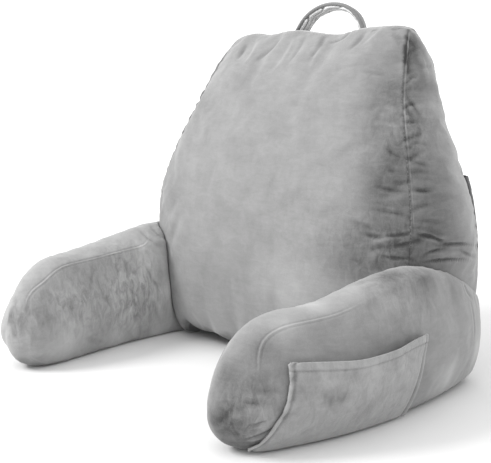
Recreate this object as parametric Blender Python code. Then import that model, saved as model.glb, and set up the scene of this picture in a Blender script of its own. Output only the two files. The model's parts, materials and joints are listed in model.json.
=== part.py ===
"""Reading pillow with arms: filled backrest, two filled arms, pockets and a carry handle.

Metres, +Z up. The front faces -Y, and right means +X, as seen from the front. The pillow stands
on Z = 0 with the origin at the middle of its base. The sizes below are laid out around the
backrest's seams, and the last step moves the finished pieces so that the middle of their box
is over the origin.
"""
import math
from collections import namedtuple

import bmesh
import bpy
import numpy as np
from mathutils import Matrix, Vector

# ---- Driving dimensions ----
BACK_HEIGHT = 0.520          # floor to the crest seam
CREST_ROLL = 0.112           # height over which the top closes to the crest seam
CREST_SEAM_Y = 0.084         # depth of the crest seam
CREST_TURN = 0.016           # how far forward the crest seam runs at its +X end
BOTTOM_ROLL = 0.030          # rounding of the cloth onto the floor, front and rear
CROWN_POWER = 2.6            # a larger power gives a flatter panel with a tighter edge
CLOSE_POWER = 2.2            # shape of the curve that closes the top and an arm's tip
CROWN_FADE = 0.7             # how fast a panel's swell fades where the section closes

ARM_NOSE_TOP = 0.098         # length over which the arm's top rounds down to its tip
ARM_NOSE_BOTTOM = 0.070      # the same under the tip
ARM_TIP_HEIGHT = 0.047       # height of the foremost point of the arm
ARM_REAR_ROLL = 0.030        # rounding of its rear end onto the floor
ARM_FULL_HEIGHT = 0.100      # the side panels swell fully where the arm is at least this tall

CLOTH = 0.0020               # pocket cloth, two layers sewn back to back
HEM = 0.0036                 # the same where it is turned over at a pocket's mouth
CUT_GAP = 0.0005             # clearance between a filled piece and what is sewn against it
POCKET_GAP = 0.0024          # clearance under a pocket where it is sewn down
POCKET_RIPPLE = 0.0016       # upright waves of the slack pocket cloth
POCKET_WAVES = 7             # half waves across a pocket
HEM_SHARE = 0.85             # the hem starts at this share of a pocket's height

STRAP_WIDTH = 0.028          # carry handle, a flat padded strap
STRAP_THICKNESS = 0.010
HANDLE_HALF_SPAN = 0.068
HANDLE_TOP = 0.559           # height of the middle of the strap at its highest
HANDLE_FOOT = 0.490          # height of its hidden ends, inside the crest
HANDLE_Y = 0.106
HANDLE_LEAN = 0.010          # the arch leans towards +X
HANDLE_TWIST = 40.0          # degrees that the strap has turned by its +X end

# Seam lines of the backrest, a row for each height. middle is the panels' centre line, which
# leans a little to the pillow's right. half_width is the front seam, and rear_inset is how much
# narrower the rear seam is. front and rear are depths, and crowns are the swell of each panel.
BackLevel = namedtuple(
    "BackLevel",
    "height middle half_width rear_inset front rear front_crown rear_crown side_crown")
BACK_LEVELS = (
    BackLevel(0.000, 0.000, 0.224, -0.032, -0.034, 0.128, 0.020, 0.024, 0.006),
    BackLevel(0.060, 0.000, 0.245, -0.023, -0.036, 0.139, 0.025, 0.032, 0.006),
    BackLevel(0.120, 0.000, 0.265, -0.006, -0.037, 0.143, 0.030, 0.036, 0.008),
    BackLevel(0.190, -0.001, 0.278, 0.002, -0.034, 0.138, 0.033, 0.038, 0.015),
    BackLevel(0.250, -0.003, 0.278, 0.003, -0.027, 0.128, 0.034, 0.040, 0.022),
    BackLevel(0.330, -0.004, 0.255, 0.004, -0.008, 0.117, 0.032, 0.040, 0.024),
    BackLevel(0.420, -0.004, 0.219, 0.004, 0.022, 0.111, 0.028, 0.043, 0.023),
    BackLevel(0.490, -0.002, 0.199, 0.004, 0.046, 0.116, 0.023, 0.042, 0.020),
    BackLevel(0.520, 0.000, 0.191, 0.004, 0.057, 0.114, 0.020, 0.034, 0.006),
)

# The crest's own line, from its left corner to its right: a share of the half width, and how far
# the crest is above the seam height there. It sags between its fuller ends.
CrestPoint = namedtuple("CrestPoint", "share rise")
CREST_LINE = (
    CrestPoint(-1.00, -0.006),
    CrestPoint(-0.82, 0.001),
    CrestPoint(-0.60, -0.002),
    CrestPoint(-0.28, 0.004),
    CrestPoint(0.00, -0.002),
    CrestPoint(0.20, -0.005),
    CrestPoint(0.45, 0.004),
    CrestPoint(0.70, 0.007),
    CrestPoint(0.88, 0.008),
    CrestPoint(1.00, 0.004),
)

# Middle line and section of an arm, a row for each station from the rear seam to the tip. top is
# the height of the strip's outer seam, right_rise what the right arm adds to it, and inner_drop
# how much lower the inner seam is. half_band is half the strip's width, the crowns are the swell
# of the two panels and the strip, and lift is how far the outer panel's lower seam is off the
# floor.
ArmStation = namedtuple(
    "ArmStation",
    "along spine_x spine_y top right_rise inner_drop half_band outer_crown inner_crown "
    "band_crown lift")
ARM_STATIONS = (
    ArmStation(0.00, 0.249, 0.127, 0.142, -0.015, 0.028, 0.030, 0.006, 0.000, 0.014, 0.015),
    ArmStation(0.12, 0.260, 0.076, 0.168, -0.014, 0.030, 0.034, 0.013, 0.000, 0.020, 0.013),
    ArmStation(0.26, 0.268, 0.010, 0.181, -0.003, 0.026, 0.036, 0.018, 0.002, 0.023, 0.010),
    ArmStation(0.38, 0.272, -0.051, 0.181, 0.006, 0.018, 0.036, 0.021, 0.006, 0.020, 0.007),
    ArmStation(0.52, 0.272, -0.121, 0.171, 0.010, 0.009, 0.035, 0.023, 0.014, 0.014, 0.005),
    ArmStation(0.68, 0.264, -0.201, 0.161, 0.002, 0.003, 0.034, 0.027, 0.018, 0.010, 0.004),
    ArmStation(0.84, 0.247, -0.279, 0.157, 0.000, 0.000, 0.029, 0.032, 0.020, 0.010, 0.002),
    ArmStation(1.00, 0.231, -0.354, 0.155, 0.000, 0.000, 0.021, 0.029, 0.018, 0.010, 0.000),
)

# Main folds of a filled panel. across and up are the fold's middle on the panel (X or Y, and Z),
# turn is its direction in degrees from the horizontal, and a negative height is a trough.
Fold = namedtuple("Fold", "across up turn half_length half_width height")
CREST_GATHERS = (
    Fold(-0.145, 0.487, 80, 0.022, 0.009, -0.005),
    Fold(-0.086, 0.486, 85, 0.022, 0.009, -0.005),
    Fold(-0.026, 0.488, 50, 0.034, 0.010, -0.006),
    Fold(0.010, 0.492, 60, 0.026, 0.009, 0.004),
    Fold(0.052, 0.490, 56, 0.024, 0.009, -0.005),
    Fold(0.104, 0.503, 50, 0.020, 0.008, -0.005),
    Fold(0.150, 0.434, 14, 0.034, 0.010, -0.004),
)
FRONT_CREASES = (
    Fold(0.212, 0.246, 10, 0.044, 0.040, -0.007),
    Fold(0.230, 0.235, 5, 0.036, 0.0065, -0.006),
    Fold(0.224, 0.217, 6, 0.034, 0.0060, -0.005),
    Fold(0.226, 0.226, 6, 0.030, 0.0050, 0.004),
)
SIDE_CREASES = (
    Fold(0.022, 0.226, -12, 0.050, 0.0065, -0.008),
    Fold(0.018, 0.214, -8, 0.032, 0.0055, -0.005),
    Fold(0.026, 0.199, -9, 0.062, 0.0055, -0.006),
    Fold(0.040, 0.300, 4, 0.040, 0.0120, -0.003),
)
ARM_FOLDS = (
    Fold(-0.062, 0.100, 84, 0.060, 0.010, -0.004),
    Fold(-0.330, 0.040, 20, 0.030, 0.009, -0.004),
)
LEFT_FOLD_SHARE = 0.7        # the folds on the pillow's left are the shallower ones

# Mouth of an arm pocket from its front end to its rear end: share of the way, and height.
MouthPoint = namedtuple("MouthPoint", "share height")
ARM_POCKET_MOUTH = (
    MouthPoint(0.00, 0.116),
    MouthPoint(0.15, 0.113),
    MouthPoint(0.40, 0.109),
    MouthPoint(0.70, 0.114),
    MouthPoint(0.88, 0.118),
    MouthPoint(1.00, 0.117),
)
ARM_POCKET_FRONT = (-0.328, -0.285)   # Y of the front side seam, at the bottom and the mouth
ARM_POCKET_FRONT_BEND = 1.7           # above 1, that seam is upright at the mouth and bends forward
ARM_POCKET_REAR = (-0.086, -0.070)    # Y of the rear side seam, at the bottom and the mouth
ARM_POCKET_BOTTOM = 0.006             # height of the seam along the floor
ARM_POCKET_GAPE = 0.018               # how far the mouth hangs open at its middle

BACK_POCKET_MOUTH = 0.302
BACK_POCKET_BOTTOM = 0.050
BACK_POCKET_SHARE = 0.88              # of the rear panel's half width
BACK_POCKET_GAPE = 0.013
BACK_POCKET_CORNER_GAPE = 0.004


# ---- Small tools ----
def reading(table, column, at):
    """Read one column of a table at other places, on a smooth curve through its rows."""
    places = np.array([row[0] for row in table])
    values = np.array([getattr(row, column) for row in table])
    slopes = np.gradient(values, places)
    at = np.clip(np.atleast_1d(at).astype(float), places[0], places[-1])
    left = np.clip(np.searchsorted(places, at) - 1, 0, len(places) - 2)
    span = places[left + 1] - places[left]
    t = (at - places[left]) / span
    return ((2 * t**3 - 3 * t**2 + 1) * values[left]
            + (t**3 - 2 * t**2 + t) * span * slopes[left]
            + (-2 * t**3 + 3 * t**2) * values[left + 1]
            + (t**3 - t**2) * span * slopes[left + 1])


def fold_height(folds, across, up):
    """Total height of the folds at one place of a panel: each is a soft ridge or trough."""
    total = 0.0
    for fold in folds:
        turn = math.radians(fold.turn)
        dx, dz = across - fold.across, up - fold.up
        along = (dx * math.cos(turn) + dz * math.sin(turn)) / fold.half_length
        beside = (-dx * math.sin(turn) + dz * math.cos(turn)) / fold.half_width
        total += fold.height * math.exp(-along**2 - beside**2)
    return total


def material(name, colour, roughness):
    """A plain cloth finish, with a little sheen for the nap."""
    made = bpy.data.materials.new(name)
    made.use_nodes = True
    shader = made.node_tree.nodes["Principled BSDF"]
    shader.inputs["Base Color"].default_value = (*colour, 1.0)
    shader.inputs["Roughness"].default_value = roughness
    shader.inputs["Metallic"].default_value = 0.0
    shader.inputs["Sheen Weight"].default_value = 0.3
    made.diffuse_color = (*colour, 1.0)
    return made


def object_from(bm, name, finish, collection):
    """Weld what meets, split into triangles, face everything out and file the new object."""
    bmesh.ops.remove_doubles(bm, verts=bm.verts, dist=1e-5)
    bmesh.ops.dissolve_degenerate(bm, dist=1e-6, edges=bm.edges)
    bmesh.ops.triangulate(bm, faces=bm.faces)
    bmesh.ops.recalc_face_normals(bm, faces=bm.faces)
    mesh = bpy.data.meshes.new(name)
    bm.to_mesh(mesh)
    bm.free()
    mesh.shade_smooth()
    mesh.set_sharp_from_angle(angle=math.radians(50))
    made = bpy.data.objects.new(name, mesh)
    made.data.materials.append(finish)
    collection.objects.link(made)
    return made


def loft(rings, cap_start, cap_end):
    """Skin a list of closed rings with the same number of points, first ring to last."""
    bm = bmesh.new()
    rows = [[bm.verts.new(point) for point in ring] for ring in rings]
    count = len(rows[0])
    for lower, upper in zip(rows, rows[1:]):
        for i in range(count):
            j = (i + 1) % count
            bm.faces.new((lower[i], lower[j], upper[j], upper[i]))
    if cap_start:
        bm.faces.new(rows[0][::-1])
    if cap_end:
        bm.faces.new(rows[-1])
    return bm


def sheet(inside, outside):
    """Close two grids of the same size, the lining side and the show side, into one thin body."""
    rows, columns = inside.shape[:2]
    bm = bmesh.new()
    lining = [[bm.verts.new(point) for point in row] for row in inside]
    show = [[bm.verts.new(point) for point in row] for row in outside]
    for i in range(rows - 1):
        for j in range(columns - 1):
            bm.faces.new((show[i][j], show[i][j + 1], show[i + 1][j + 1], show[i + 1][j]))
            bm.faces.new((lining[i + 1][j], lining[i + 1][j + 1], lining[i][j + 1], lining[i][j]))
    rim = [(i, 0) for i in range(rows)] + [(rows - 1, j) for j in range(1, columns)]
    rim += [(i, columns - 1) for i in range(rows - 2, -1, -1)]
    rim += [(0, j) for j in range(columns - 2, 0, -1)]
    for (a, b), (c, d) in zip(rim, rim[1:] + rim[:1]):
        bm.faces.new((lining[a][b], lining[c][d], show[c][d], show[a][b]))
    return bm


# ---- Backrest ----
def back_seams(height):
    """The table's sizes at one height, with the crest and the floor roundings worked in."""
    level = {name: float(reading(BACK_LEVELS, name, height)[0]) for name in BackLevel._fields[1:]}
    into_crest = np.clip((height - (BACK_HEIGHT - CREST_ROLL)) / CREST_ROLL, 0, 1)
    level["open"] = math.sqrt(max(0.0, 1 - into_crest**CLOSE_POWER))
    off_floor = np.clip(1 - height / BOTTOM_ROLL, 0, 1)
    level["tuck"] = BOTTOM_ROLL * (1 - math.sqrt(1 - off_floor**2))
    half_depth = (level["rear"] - level["front"]) / 2
    centre_y = (level["rear"] + level["front"]) / 2
    centre_y += (CREST_SEAM_Y - centre_y) * into_crest**2
    level["front"] = centre_y - half_depth * level["open"]
    level["rear"] = centre_y + half_depth * level["open"]
    return level


def onto_crest_line(x, y, height, share):
    """The point, moved up or down to the crest's line and forward at its right end."""
    lift = np.clip((height - (BACK_HEIGHT - CREST_ROLL)) / CREST_ROLL, 0, 1)**2
    rise = float(reading(CREST_LINE, "rise", share)[0])
    return np.array((x, y - lift * CREST_TURN * max(0, share)**3, height + lift * rise))


def on_the_left(folds):
    """The same folds mirrored to the pillow's left, shallower."""
    return [fold._replace(across=-fold.across, turn=-fold.turn,
                          height=fold.height * LEFT_FOLD_SHARE) for fold in folds]


def front_point(share, height):
    """A point of the front panel, share -1 to 1 from seam to seam."""
    level = back_seams(height)
    x = level["middle"] + share * level["half_width"]
    swell = level["front_crown"] * level["open"]**CROWN_FADE * (1 - abs(share)**CROWN_POWER)
    folds = fold_height(CREST_GATHERS, x, height) * level["open"]
    folds += fold_height(FRONT_CREASES, x, height)
    folds += fold_height(on_the_left(FRONT_CREASES), x, height)
    off_seam = 1 - abs(share)**8
    y = level["front"] - swell - folds * off_seam + level["tuck"]
    return onto_crest_line(x, y, height, share)


def rear_point(share, height):
    """A point of the rear panel, share -1 to 1 from seam to seam."""
    level = back_seams(height)
    x = level["middle"] + share * (level["half_width"] - level["rear_inset"] * level["open"])
    swell = level["rear_crown"] * level["open"]**CROWN_FADE * (1 - abs(share)**CROWN_POWER)
    y = level["rear"] + swell - level["tuck"]
    return onto_crest_line(x, y, height, share)


def side_point(side, share, height):
    """A point of the side strip, share 0 at the front seam to 1 at the rear seam."""
    level = back_seams(height)
    start, end = front_point(side, height), rear_point(side, height)
    point = start + (end - start) * share
    arch = 4 * share * (1 - share)
    swell = level["side_crown"] * level["open"]
    swell += fold_height(SIDE_CREASES, point[1], height) * (1 if side > 0 else LEFT_FOLD_SHARE)
    point[0] += side * arch * swell
    return point


def back_heights():
    """Levels of the loft: close together at the floor, over the arms and in the crest."""
    quarter = np.sin(np.linspace(0, math.pi / 2, 11))
    floor = BOTTOM_ROLL * (1 - quarter[::-2])
    low = np.linspace(0.055, 0.185, 6)
    creased = np.linspace(0.191, 0.245, 10)
    high = np.linspace(0.262, BACK_HEIGHT - CREST_ROLL, 7)
    crest = BACK_HEIGHT - CREST_ROLL * (1 - quarter[1:])
    return np.concatenate((floor, low, creased, high, crest))


def back_ring(height, panel_count=31, side_count=6):
    """One level section: front panel, right strip, rear panel, left strip.

    Front and rear have equally many points, so that they meet point for point at the crest.
    """
    front = [front_point(share, height) for share in np.linspace(-1, 1, panel_count)]
    right = [side_point(1, share, height) for share in np.linspace(0, 1, side_count)[1:-1]]
    rear = [rear_point(share, height) for share in np.linspace(1, -1, panel_count)]
    left = [side_point(-1, share, height) for share in np.linspace(1, 0, side_count)[1:-1]]
    return front + right + rear + left


def make_backrest(finish, collection, cutters):
    """The filled backrest, and a slightly larger copy that cuts what is sewn against it."""
    bm = loft([back_ring(height) for height in back_heights()], True, False)
    backrest = object_from(bm, "backrest", finish, collection)
    cutter = bpy.data.objects.new("backrest_clearance", backrest.data.copy())
    for vertex in cutter.data.vertices:
        vertex.co += vertex.normal * CUT_GAP
    cutter.hide_render = True
    cutter.display_type = "WIRE"
    cutters.objects.link(cutter)
    return backrest, cutter


# ---- Arms ----
class ArmShape:
    """An arm as a bent box cushion: outer panel, inner panel and the strip between.

    Its points are laid out at +X, and flipped() mirrors them for the left arm.
    """

    def __init__(self, side):
        self.side = side
        fine = np.linspace(0, 1, 200)
        x = reading(ARM_STATIONS, "spine_x", fine)
        y = reading(ARM_STATIONS, "spine_y", fine)
        steps = np.hypot(np.diff(x), np.diff(y))
        self.run = np.concatenate(([0], np.cumsum(steps)))
        self.length = self.run[-1]
        self.fine = fine

    def station(self, distance):
        """Spine point, direction and section sizes at a distance from the rear end."""
        along = float(np.interp(distance, self.run, self.fine))
        near = np.clip([along - 0.01, along + 0.01], 0, 1)
        here = {name: float(reading(ARM_STATIONS, name, along)[0])
                for name in ArmStation._fields[1:]}
        dx, dy = (np.diff(reading(ARM_STATIONS, name, near))[0] for name in ("spine_x", "spine_y"))
        here["ahead"] = np.array((dx, dy)) / math.hypot(dx, dy)
        here["out"] = np.array((-here["ahead"][1], here["ahead"][0]))
        return here

    def edges(self, distance):
        """Heights of the strip's seams over and under the arm at a distance."""
        here = self.station(distance)
        full = here["top"] + (here["right_rise"] if self.side > 0 else 0)
        to_tip = self.length - distance
        over = np.clip(1 - to_tip / ARM_NOSE_TOP, 0, 1)
        under = np.clip(1 - to_tip / ARM_NOSE_BOTTOM, 0, 1)
        behind = np.clip(1 - distance / ARM_REAR_ROLL, 0, 1)
        top = ARM_TIP_HEIGHT + (full - ARM_TIP_HEIGHT) * math.sqrt(max(0, 1 - over**CLOSE_POWER))
        bottom = ARM_TIP_HEIGHT * (1 - math.sqrt(max(0, 1 - under**2)))
        bottom += ARM_REAR_ROLL * (1 - math.sqrt(max(0, 1 - behind**2)))
        return top, bottom

    def slope(self, distance):
        """Unit outward directions of the strip above and below, as (ahead, up)."""
        if self.length - distance < 1e-6:
            return np.array((1.0, 0.0)), np.array((1.0, 0.0))
        before, after = max(0, distance - 0.001), min(self.length, distance + 0.001)
        (top_a, low_a), (top_b, low_b) = self.edges(before), self.edges(after)
        over = np.array((top_a - top_b, after - before))
        under = np.array((low_b - low_a, before - after))
        return over / np.linalg.norm(over), under / np.linalg.norm(under)

    def place(self, here, out, ahead, height):
        """World point from a station and an offset."""
        plan = (np.array((here["spine_x"], here["spine_y"])) + here["out"] * out
                + here["ahead"] * ahead)
        return np.array((plan[0], plan[1], height))

    def panel_point(self, distance, share, outer):
        """A point of the outer or inner panel, share 0 at the floor seam to 1 at the top seam."""
        here = self.station(distance)
        top, bottom = self.edges(distance)
        if outer:
            bottom += here["lift"]
        else:
            top -= here["inner_drop"]
        tall = top - bottom
        crown = here["outer_crown"] if outer else here["inner_crown"]
        swell = crown * math.sin(math.pi * share**0.85) * min(1, tall / ARM_FULL_HEIGHT)**0.8
        out = here["half_band"] + swell
        height = bottom + share * tall
        if outer:
            point = self.place(here, out, 0, height)
            point[0] += fold_height(ARM_FOLDS, point[1], height)
            return point
        return self.place(here, -out, 0, height)

    def strip_point(self, distance, share, over):
        """A point of the strip, share 1 at the outer seam to -1 at the inner seam."""
        here = self.station(distance)
        top, bottom = self.edges(distance)
        up_top, up_bottom = self.slope(distance)
        to_tip = np.clip((self.length - distance) / ARM_NOSE_BOTTOM, 0, 1)
        swell = here["band_crown"] * (1 - share**2)
        if over:
            top -= here["inner_drop"] * (1 - share) / 2
            return self.place(here, share * here["half_band"], up_top[0] * swell,
                              top + up_top[1] * swell)
        bottom += here["lift"] * ((1 + share) / 2)**2
        swell *= 1 - 0.5 * to_tip
        return self.place(here, share * here["half_band"], up_bottom[0] * swell,
                          max(0.0, bottom + up_bottom[1] * swell))

    def ring(self, distance, panel_count=9, strip_count=7):
        """One section across the arm."""
        panel = np.linspace(0, 1, panel_count)
        strip = np.linspace(1, -1, strip_count)[1:-1]
        return ([self.panel_point(distance, share, True) for share in panel]
                + [self.strip_point(distance, share, True) for share in strip]
                + [self.panel_point(distance, share, False) for share in panel[::-1]]
                + [self.strip_point(distance, share, False) for share in -strip])

    def distances(self, count=30):
        """Stations along the arm, closest together at its two ends."""
        rear = ARM_REAR_ROLL * np.array((0.0, 0.15, 0.4, 0.7))
        ahead = np.sin(np.linspace(0, math.pi / 2, count))
        return np.concatenate((rear, ARM_REAR_ROLL + (self.length - ARM_REAR_ROLL) * ahead))


def flipped(points, side):
    """Mirror points to the pillow's other side."""
    return np.array(points) * (side, 1, 1)


def make_arm(arm, finish, collection, cutter):
    """A filled arm, cut where the backrest stands."""
    rings = [flipped(arm.ring(distance), arm.side) for distance in arm.distances()]
    name = "arm_right" if arm.side > 0 else "arm_left"
    made = object_from(loft(rings, True, False), name, finish, collection)
    cut = made.modifiers.new("against_backrest", "BOOLEAN")
    cut.operation = "DIFFERENCE"
    cut.object = cutter
    return made


# ---- Pockets ----
def push_out(grid, distances, outward):
    """Move a grid of surface points along its own normals."""
    du = np.gradient(grid, axis=0)
    dv = np.gradient(grid, axis=1)
    normal = np.cross(du, dv)
    normal /= np.linalg.norm(normal, axis=2)[..., None]
    facing = np.sign(np.sum(normal * outward, axis=2))[..., None]
    return grid + normal * facing * distances[..., None]


def hem_thickness(up):
    """Cloth thickness at a share of the pocket's height: the mouth is turned over."""
    return CLOTH + (HEM - CLOTH) * (up > HEM_SHARE)


def arm_pocket_grid(arm, columns=22, rows=9):
    """Points of the arm's outer panel under the pocket, front to rear and floor to mouth."""
    fine = np.linspace(0, arm.length, 300)
    spine_y = np.array([arm.station(distance)["spine_y"] for distance in fine])
    grid = np.zeros((columns, rows, 3))
    for i, share in enumerate(np.linspace(0, 1, columns)):
        mouth = float(reading(ARM_POCKET_MOUTH, "height", share)[0])
        for j, up in enumerate(np.linspace(0, 1, rows)):
            forward = (1 - up)**ARM_POCKET_FRONT_BEND
            front = ARM_POCKET_FRONT[1] + (ARM_POCKET_FRONT[0] - ARM_POCKET_FRONT[1]) * forward
            rear = ARM_POCKET_REAR[0] + (ARM_POCKET_REAR[1] - ARM_POCKET_REAR[0]) * up
            y = front + (rear - front) * share
            distance = float(np.interp(-y, -spine_y, fine))
            top, bottom = arm.edges(distance)
            bottom += arm.station(distance)["lift"]
            low = max(bottom, ARM_POCKET_BOTTOM)
            height = low + (mouth - low) * up
            grid[i, j] = arm.panel_point(distance, (height - bottom) / (top - bottom), True)
    return grid


def make_arm_pocket(arm, finish, collection):
    """A patch pocket on the arm's outer panel, sewn at its sides and bottom, open at the mouth."""
    grid = arm_pocket_grid(arm)
    columns, rows = grid.shape[:2]
    share, up = np.meshgrid(np.linspace(0, 1, columns), np.linspace(0, 1, rows), indexing="ij")
    gape = ARM_POCKET_GAPE * np.sin(np.pi * share)**0.8 * up**1.6
    waves = 1 + np.sin(POCKET_WAVES * np.pi * share)
    ripple = POCKET_RIPPLE * waves * np.sin(np.pi * share) * up
    inside = push_out(grid, POCKET_GAP + gape + ripple, (1, 0, 0))
    outside = push_out(inside, hem_thickness(up), (1, 0, 0))
    name = "pocket_right" if arm.side > 0 else "pocket_left"
    body = sheet(flipped(inside, arm.side), flipped(outside, arm.side))
    return object_from(body, name, finish, collection)


def make_back_pocket(finish, collection, columns=23, rows=9):
    """A wide dark pocket on the rear panel, open along its top."""
    shares = np.linspace(-BACK_POCKET_SHARE, BACK_POCKET_SHARE, columns)
    ups = np.linspace(0, 1, rows)
    heights = BACK_POCKET_BOTTOM + (BACK_POCKET_MOUTH - BACK_POCKET_BOTTOM) * ups
    grid = np.array([[rear_point(share, height) for height in heights] for share in shares])
    across, up = np.meshgrid(shares / BACK_POCKET_SHARE, ups, indexing="ij")
    gape = (BACK_POCKET_CORNER_GAPE + BACK_POCKET_GAPE * (1 - across**2)) * up**1.5
    inside = push_out(grid, POCKET_GAP + gape, (0, 1, 0))
    outside = push_out(inside, hem_thickness(up), (0, 1, 0))
    return object_from(sheet(inside, outside), "back_pocket", finish, collection)


# ---- Carry handle ----
def make_handle(finish, collection, cutter, steps=28, round_count=12):
    """A flat padded strap arched over the crest, its ends sewn in behind it."""
    section = []
    for i in range(round_count):
        angle = 2 * math.pi * i / round_count
        wide, thick = math.cos(angle), math.sin(angle)
        section.append((math.copysign(abs(wide)**0.6, wide) * STRAP_WIDTH / 2,
                        math.copysign(abs(thick)**0.7, thick) * STRAP_THICKNESS / 2))
    rise = HANDLE_TOP - HANDLE_FOOT
    path = []
    for turn in np.linspace(0, math.pi, steps):
        lift = math.sin(turn)**0.75
        path.append(Vector((-HANDLE_HALF_SPAN * math.cos(turn) + HANDLE_LEAN * lift**2,
                            HANDLE_Y, HANDLE_FOOT + rise * lift)))
    rings = []
    for i, centre in enumerate(path):
        ahead = (path[min(i + 1, steps - 1)] - path[max(i - 1, 0)]).normalized()
        twist = Matrix.Rotation(math.radians(HANDLE_TWIST) * (i / (steps - 1))**2, 3, -ahead)
        flat_way = twist @ Vector((0, 1, 0))
        outward = flat_way.cross(ahead).normalized()
        rings.append([centre + flat_way * wide + outward * thick for wide, thick in section])
    made = object_from(loft(rings, True, True), "carry_handle", finish, collection)
    cut = made.modifiers.new("against_backrest", "BOOLEAN")
    cut.operation = "DIFFERENCE"
    cut.object = cutter
    return made


# ---- The whole pillow ----
def stand_on_origin(pieces):
    """Move everything so that the middle of the box that holds it is over the origin."""
    low = np.full(3, np.inf)
    high = np.full(3, -np.inf)
    for piece in pieces:
        corners = np.array([vertex.co[:] for vertex in piece.data.vertices])
        low, high = np.minimum(low, corners.min(axis=0)), np.maximum(high, corners.max(axis=0))
    shift = Matrix.Translation((-(low[0] + high[0]) / 2, -(low[1] + high[1]) / 2, -low[2]))
    for mesh in {piece.data for piece in bpy.data.objects if piece.type == "MESH"}:
        mesh.transform(shift)
    print("box of the pillow", high - low, "moved by", shift.translation)


def main():
    for thing in list(bpy.data.objects):
        bpy.data.objects.remove(thing, do_unlink=True)
    pillow = bpy.data.collections.new("reading_pillow")
    cutters = bpy.data.collections.new("cutters")
    bpy.context.scene.collection.children.link(pillow)
    bpy.context.scene.collection.children.link(cutters)

    plush = material("grey_plush", (0.41, 0.41, 0.41), 0.90)
    strap = material("grey_strap", (0.47, 0.47, 0.47), 0.85)
    dark = material("dark_pocket_cloth", (0.030, 0.030, 0.032), 0.80)

    backrest, cutter = make_backrest(plush, pillow, cutters)
    pieces = [backrest]
    for side in (1, -1):
        arm = ArmShape(side)
        pieces.append(make_arm(arm, plush, pillow, cutter))
        pieces.append(make_arm_pocket(arm, plush, pillow))
    pieces.append(make_handle(strap, pillow, cutter))
    pieces.append(make_back_pocket(dark, pillow))
    stand_on_origin(pieces)


main()
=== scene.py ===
# %% [markdown]
# # A plush reading pillow with arms
#
# The pillow is a bed rest: a filled backrest, two filled arms, a patch pocket on the outside of
# each arm, a carry handle over the crest and a dark pocket on the back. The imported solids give
# every piece its place and real size, in metres, with +Z up and the front facing -Y. This script
# gives them the look of brushed plush, and takes its sizes from the solids where it can.

import json
import math
from collections import namedtuple

import bmesh
import bpy
import numpy as np
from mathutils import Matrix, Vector
from mathutils.bvhtree import BVHTree
from mathutils.kdtree import KDTree

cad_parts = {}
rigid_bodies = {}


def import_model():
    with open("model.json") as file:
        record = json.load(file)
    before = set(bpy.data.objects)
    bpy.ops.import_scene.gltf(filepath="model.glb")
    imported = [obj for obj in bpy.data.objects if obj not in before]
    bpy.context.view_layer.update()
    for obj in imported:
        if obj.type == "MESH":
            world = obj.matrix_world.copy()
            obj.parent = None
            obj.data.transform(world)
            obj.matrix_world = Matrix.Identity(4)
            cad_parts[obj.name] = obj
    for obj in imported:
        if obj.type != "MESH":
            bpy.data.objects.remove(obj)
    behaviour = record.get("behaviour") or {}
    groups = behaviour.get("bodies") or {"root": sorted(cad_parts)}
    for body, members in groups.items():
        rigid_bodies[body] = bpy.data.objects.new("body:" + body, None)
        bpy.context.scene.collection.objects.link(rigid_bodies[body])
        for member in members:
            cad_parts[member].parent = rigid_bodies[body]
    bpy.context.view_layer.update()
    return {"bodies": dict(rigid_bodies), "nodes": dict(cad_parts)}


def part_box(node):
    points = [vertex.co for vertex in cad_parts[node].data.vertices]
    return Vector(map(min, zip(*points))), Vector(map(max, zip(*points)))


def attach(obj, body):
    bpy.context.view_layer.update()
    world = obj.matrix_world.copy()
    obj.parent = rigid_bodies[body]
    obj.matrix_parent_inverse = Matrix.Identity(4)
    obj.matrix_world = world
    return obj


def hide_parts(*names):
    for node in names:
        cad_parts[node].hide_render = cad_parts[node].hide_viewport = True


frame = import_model()
BODY = next(iter(frame["bodies"]))
MM = 0.001
MERGED = 0.01 * MM                   # points of a solid that are nearer than this become one
print("solids", sorted(frame["nodes"]), "on body", BODY)


def new_object(name, data):
    """An object of a mesh, camera or light, linked to the scene."""
    made = bpy.data.objects.new(name, data)
    bpy.context.scene.collection.objects.link(made)
    return made


def mesh_of(name, bm):
    """The bmesh as a mesh. It is freed."""
    mesh = bpy.data.meshes.new(name)
    bm.to_mesh(mesh)
    bm.free()
    return mesh


# %% [markdown]
# ## The view
#
# A product photo is taken with a longish lens, so that near and far parts keep their proportions.
# The pillow is seen from 46 degrees to one side and a little from above. The camera stands on a
# line through a point inside the backrest, which puts that point in the middle of the picture.
#
# Some folds are placed by where they show in the photograph. A ray from the camera through that
# pixel meets the cloth at the fold's real place, so the fold sits on its cloth from every side.

# %% Camera
VIEW_TURN, VIEW_RISE = 46.4, 9.7     # degrees from straight ahead, and above the horizon
VIEW_POINT = Vector((-0.0895, 0.0883, 0.195))
VIEW_DISTANCE = 1.697
LENS, SENSOR = 75.2, 36.0            # millimetres
PHOTO_WIDTH, PHOTO_HEIGHT = 491, 463

turn, rise = math.radians(VIEW_TURN), math.radians(VIEW_RISE)
towards_camera = Vector((math.sin(turn) * math.cos(rise),
                         -math.cos(turn) * math.cos(rise),
                         math.sin(rise)))
camera = new_object("camera", bpy.data.cameras.new("camera"))
camera.location = VIEW_POINT + towards_camera * VIEW_DISTANCE
camera.rotation_mode = "QUATERNION"
camera.rotation_quaternion = towards_camera.to_track_quat("Z", "Y")
camera.data.lens = LENS
camera.data.sensor_fit = "HORIZONTAL"
camera.data.sensor_width = SENSOR
bpy.context.scene.camera = camera
print("camera at", tuple(round(x, 3) for x in camera.location))


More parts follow.
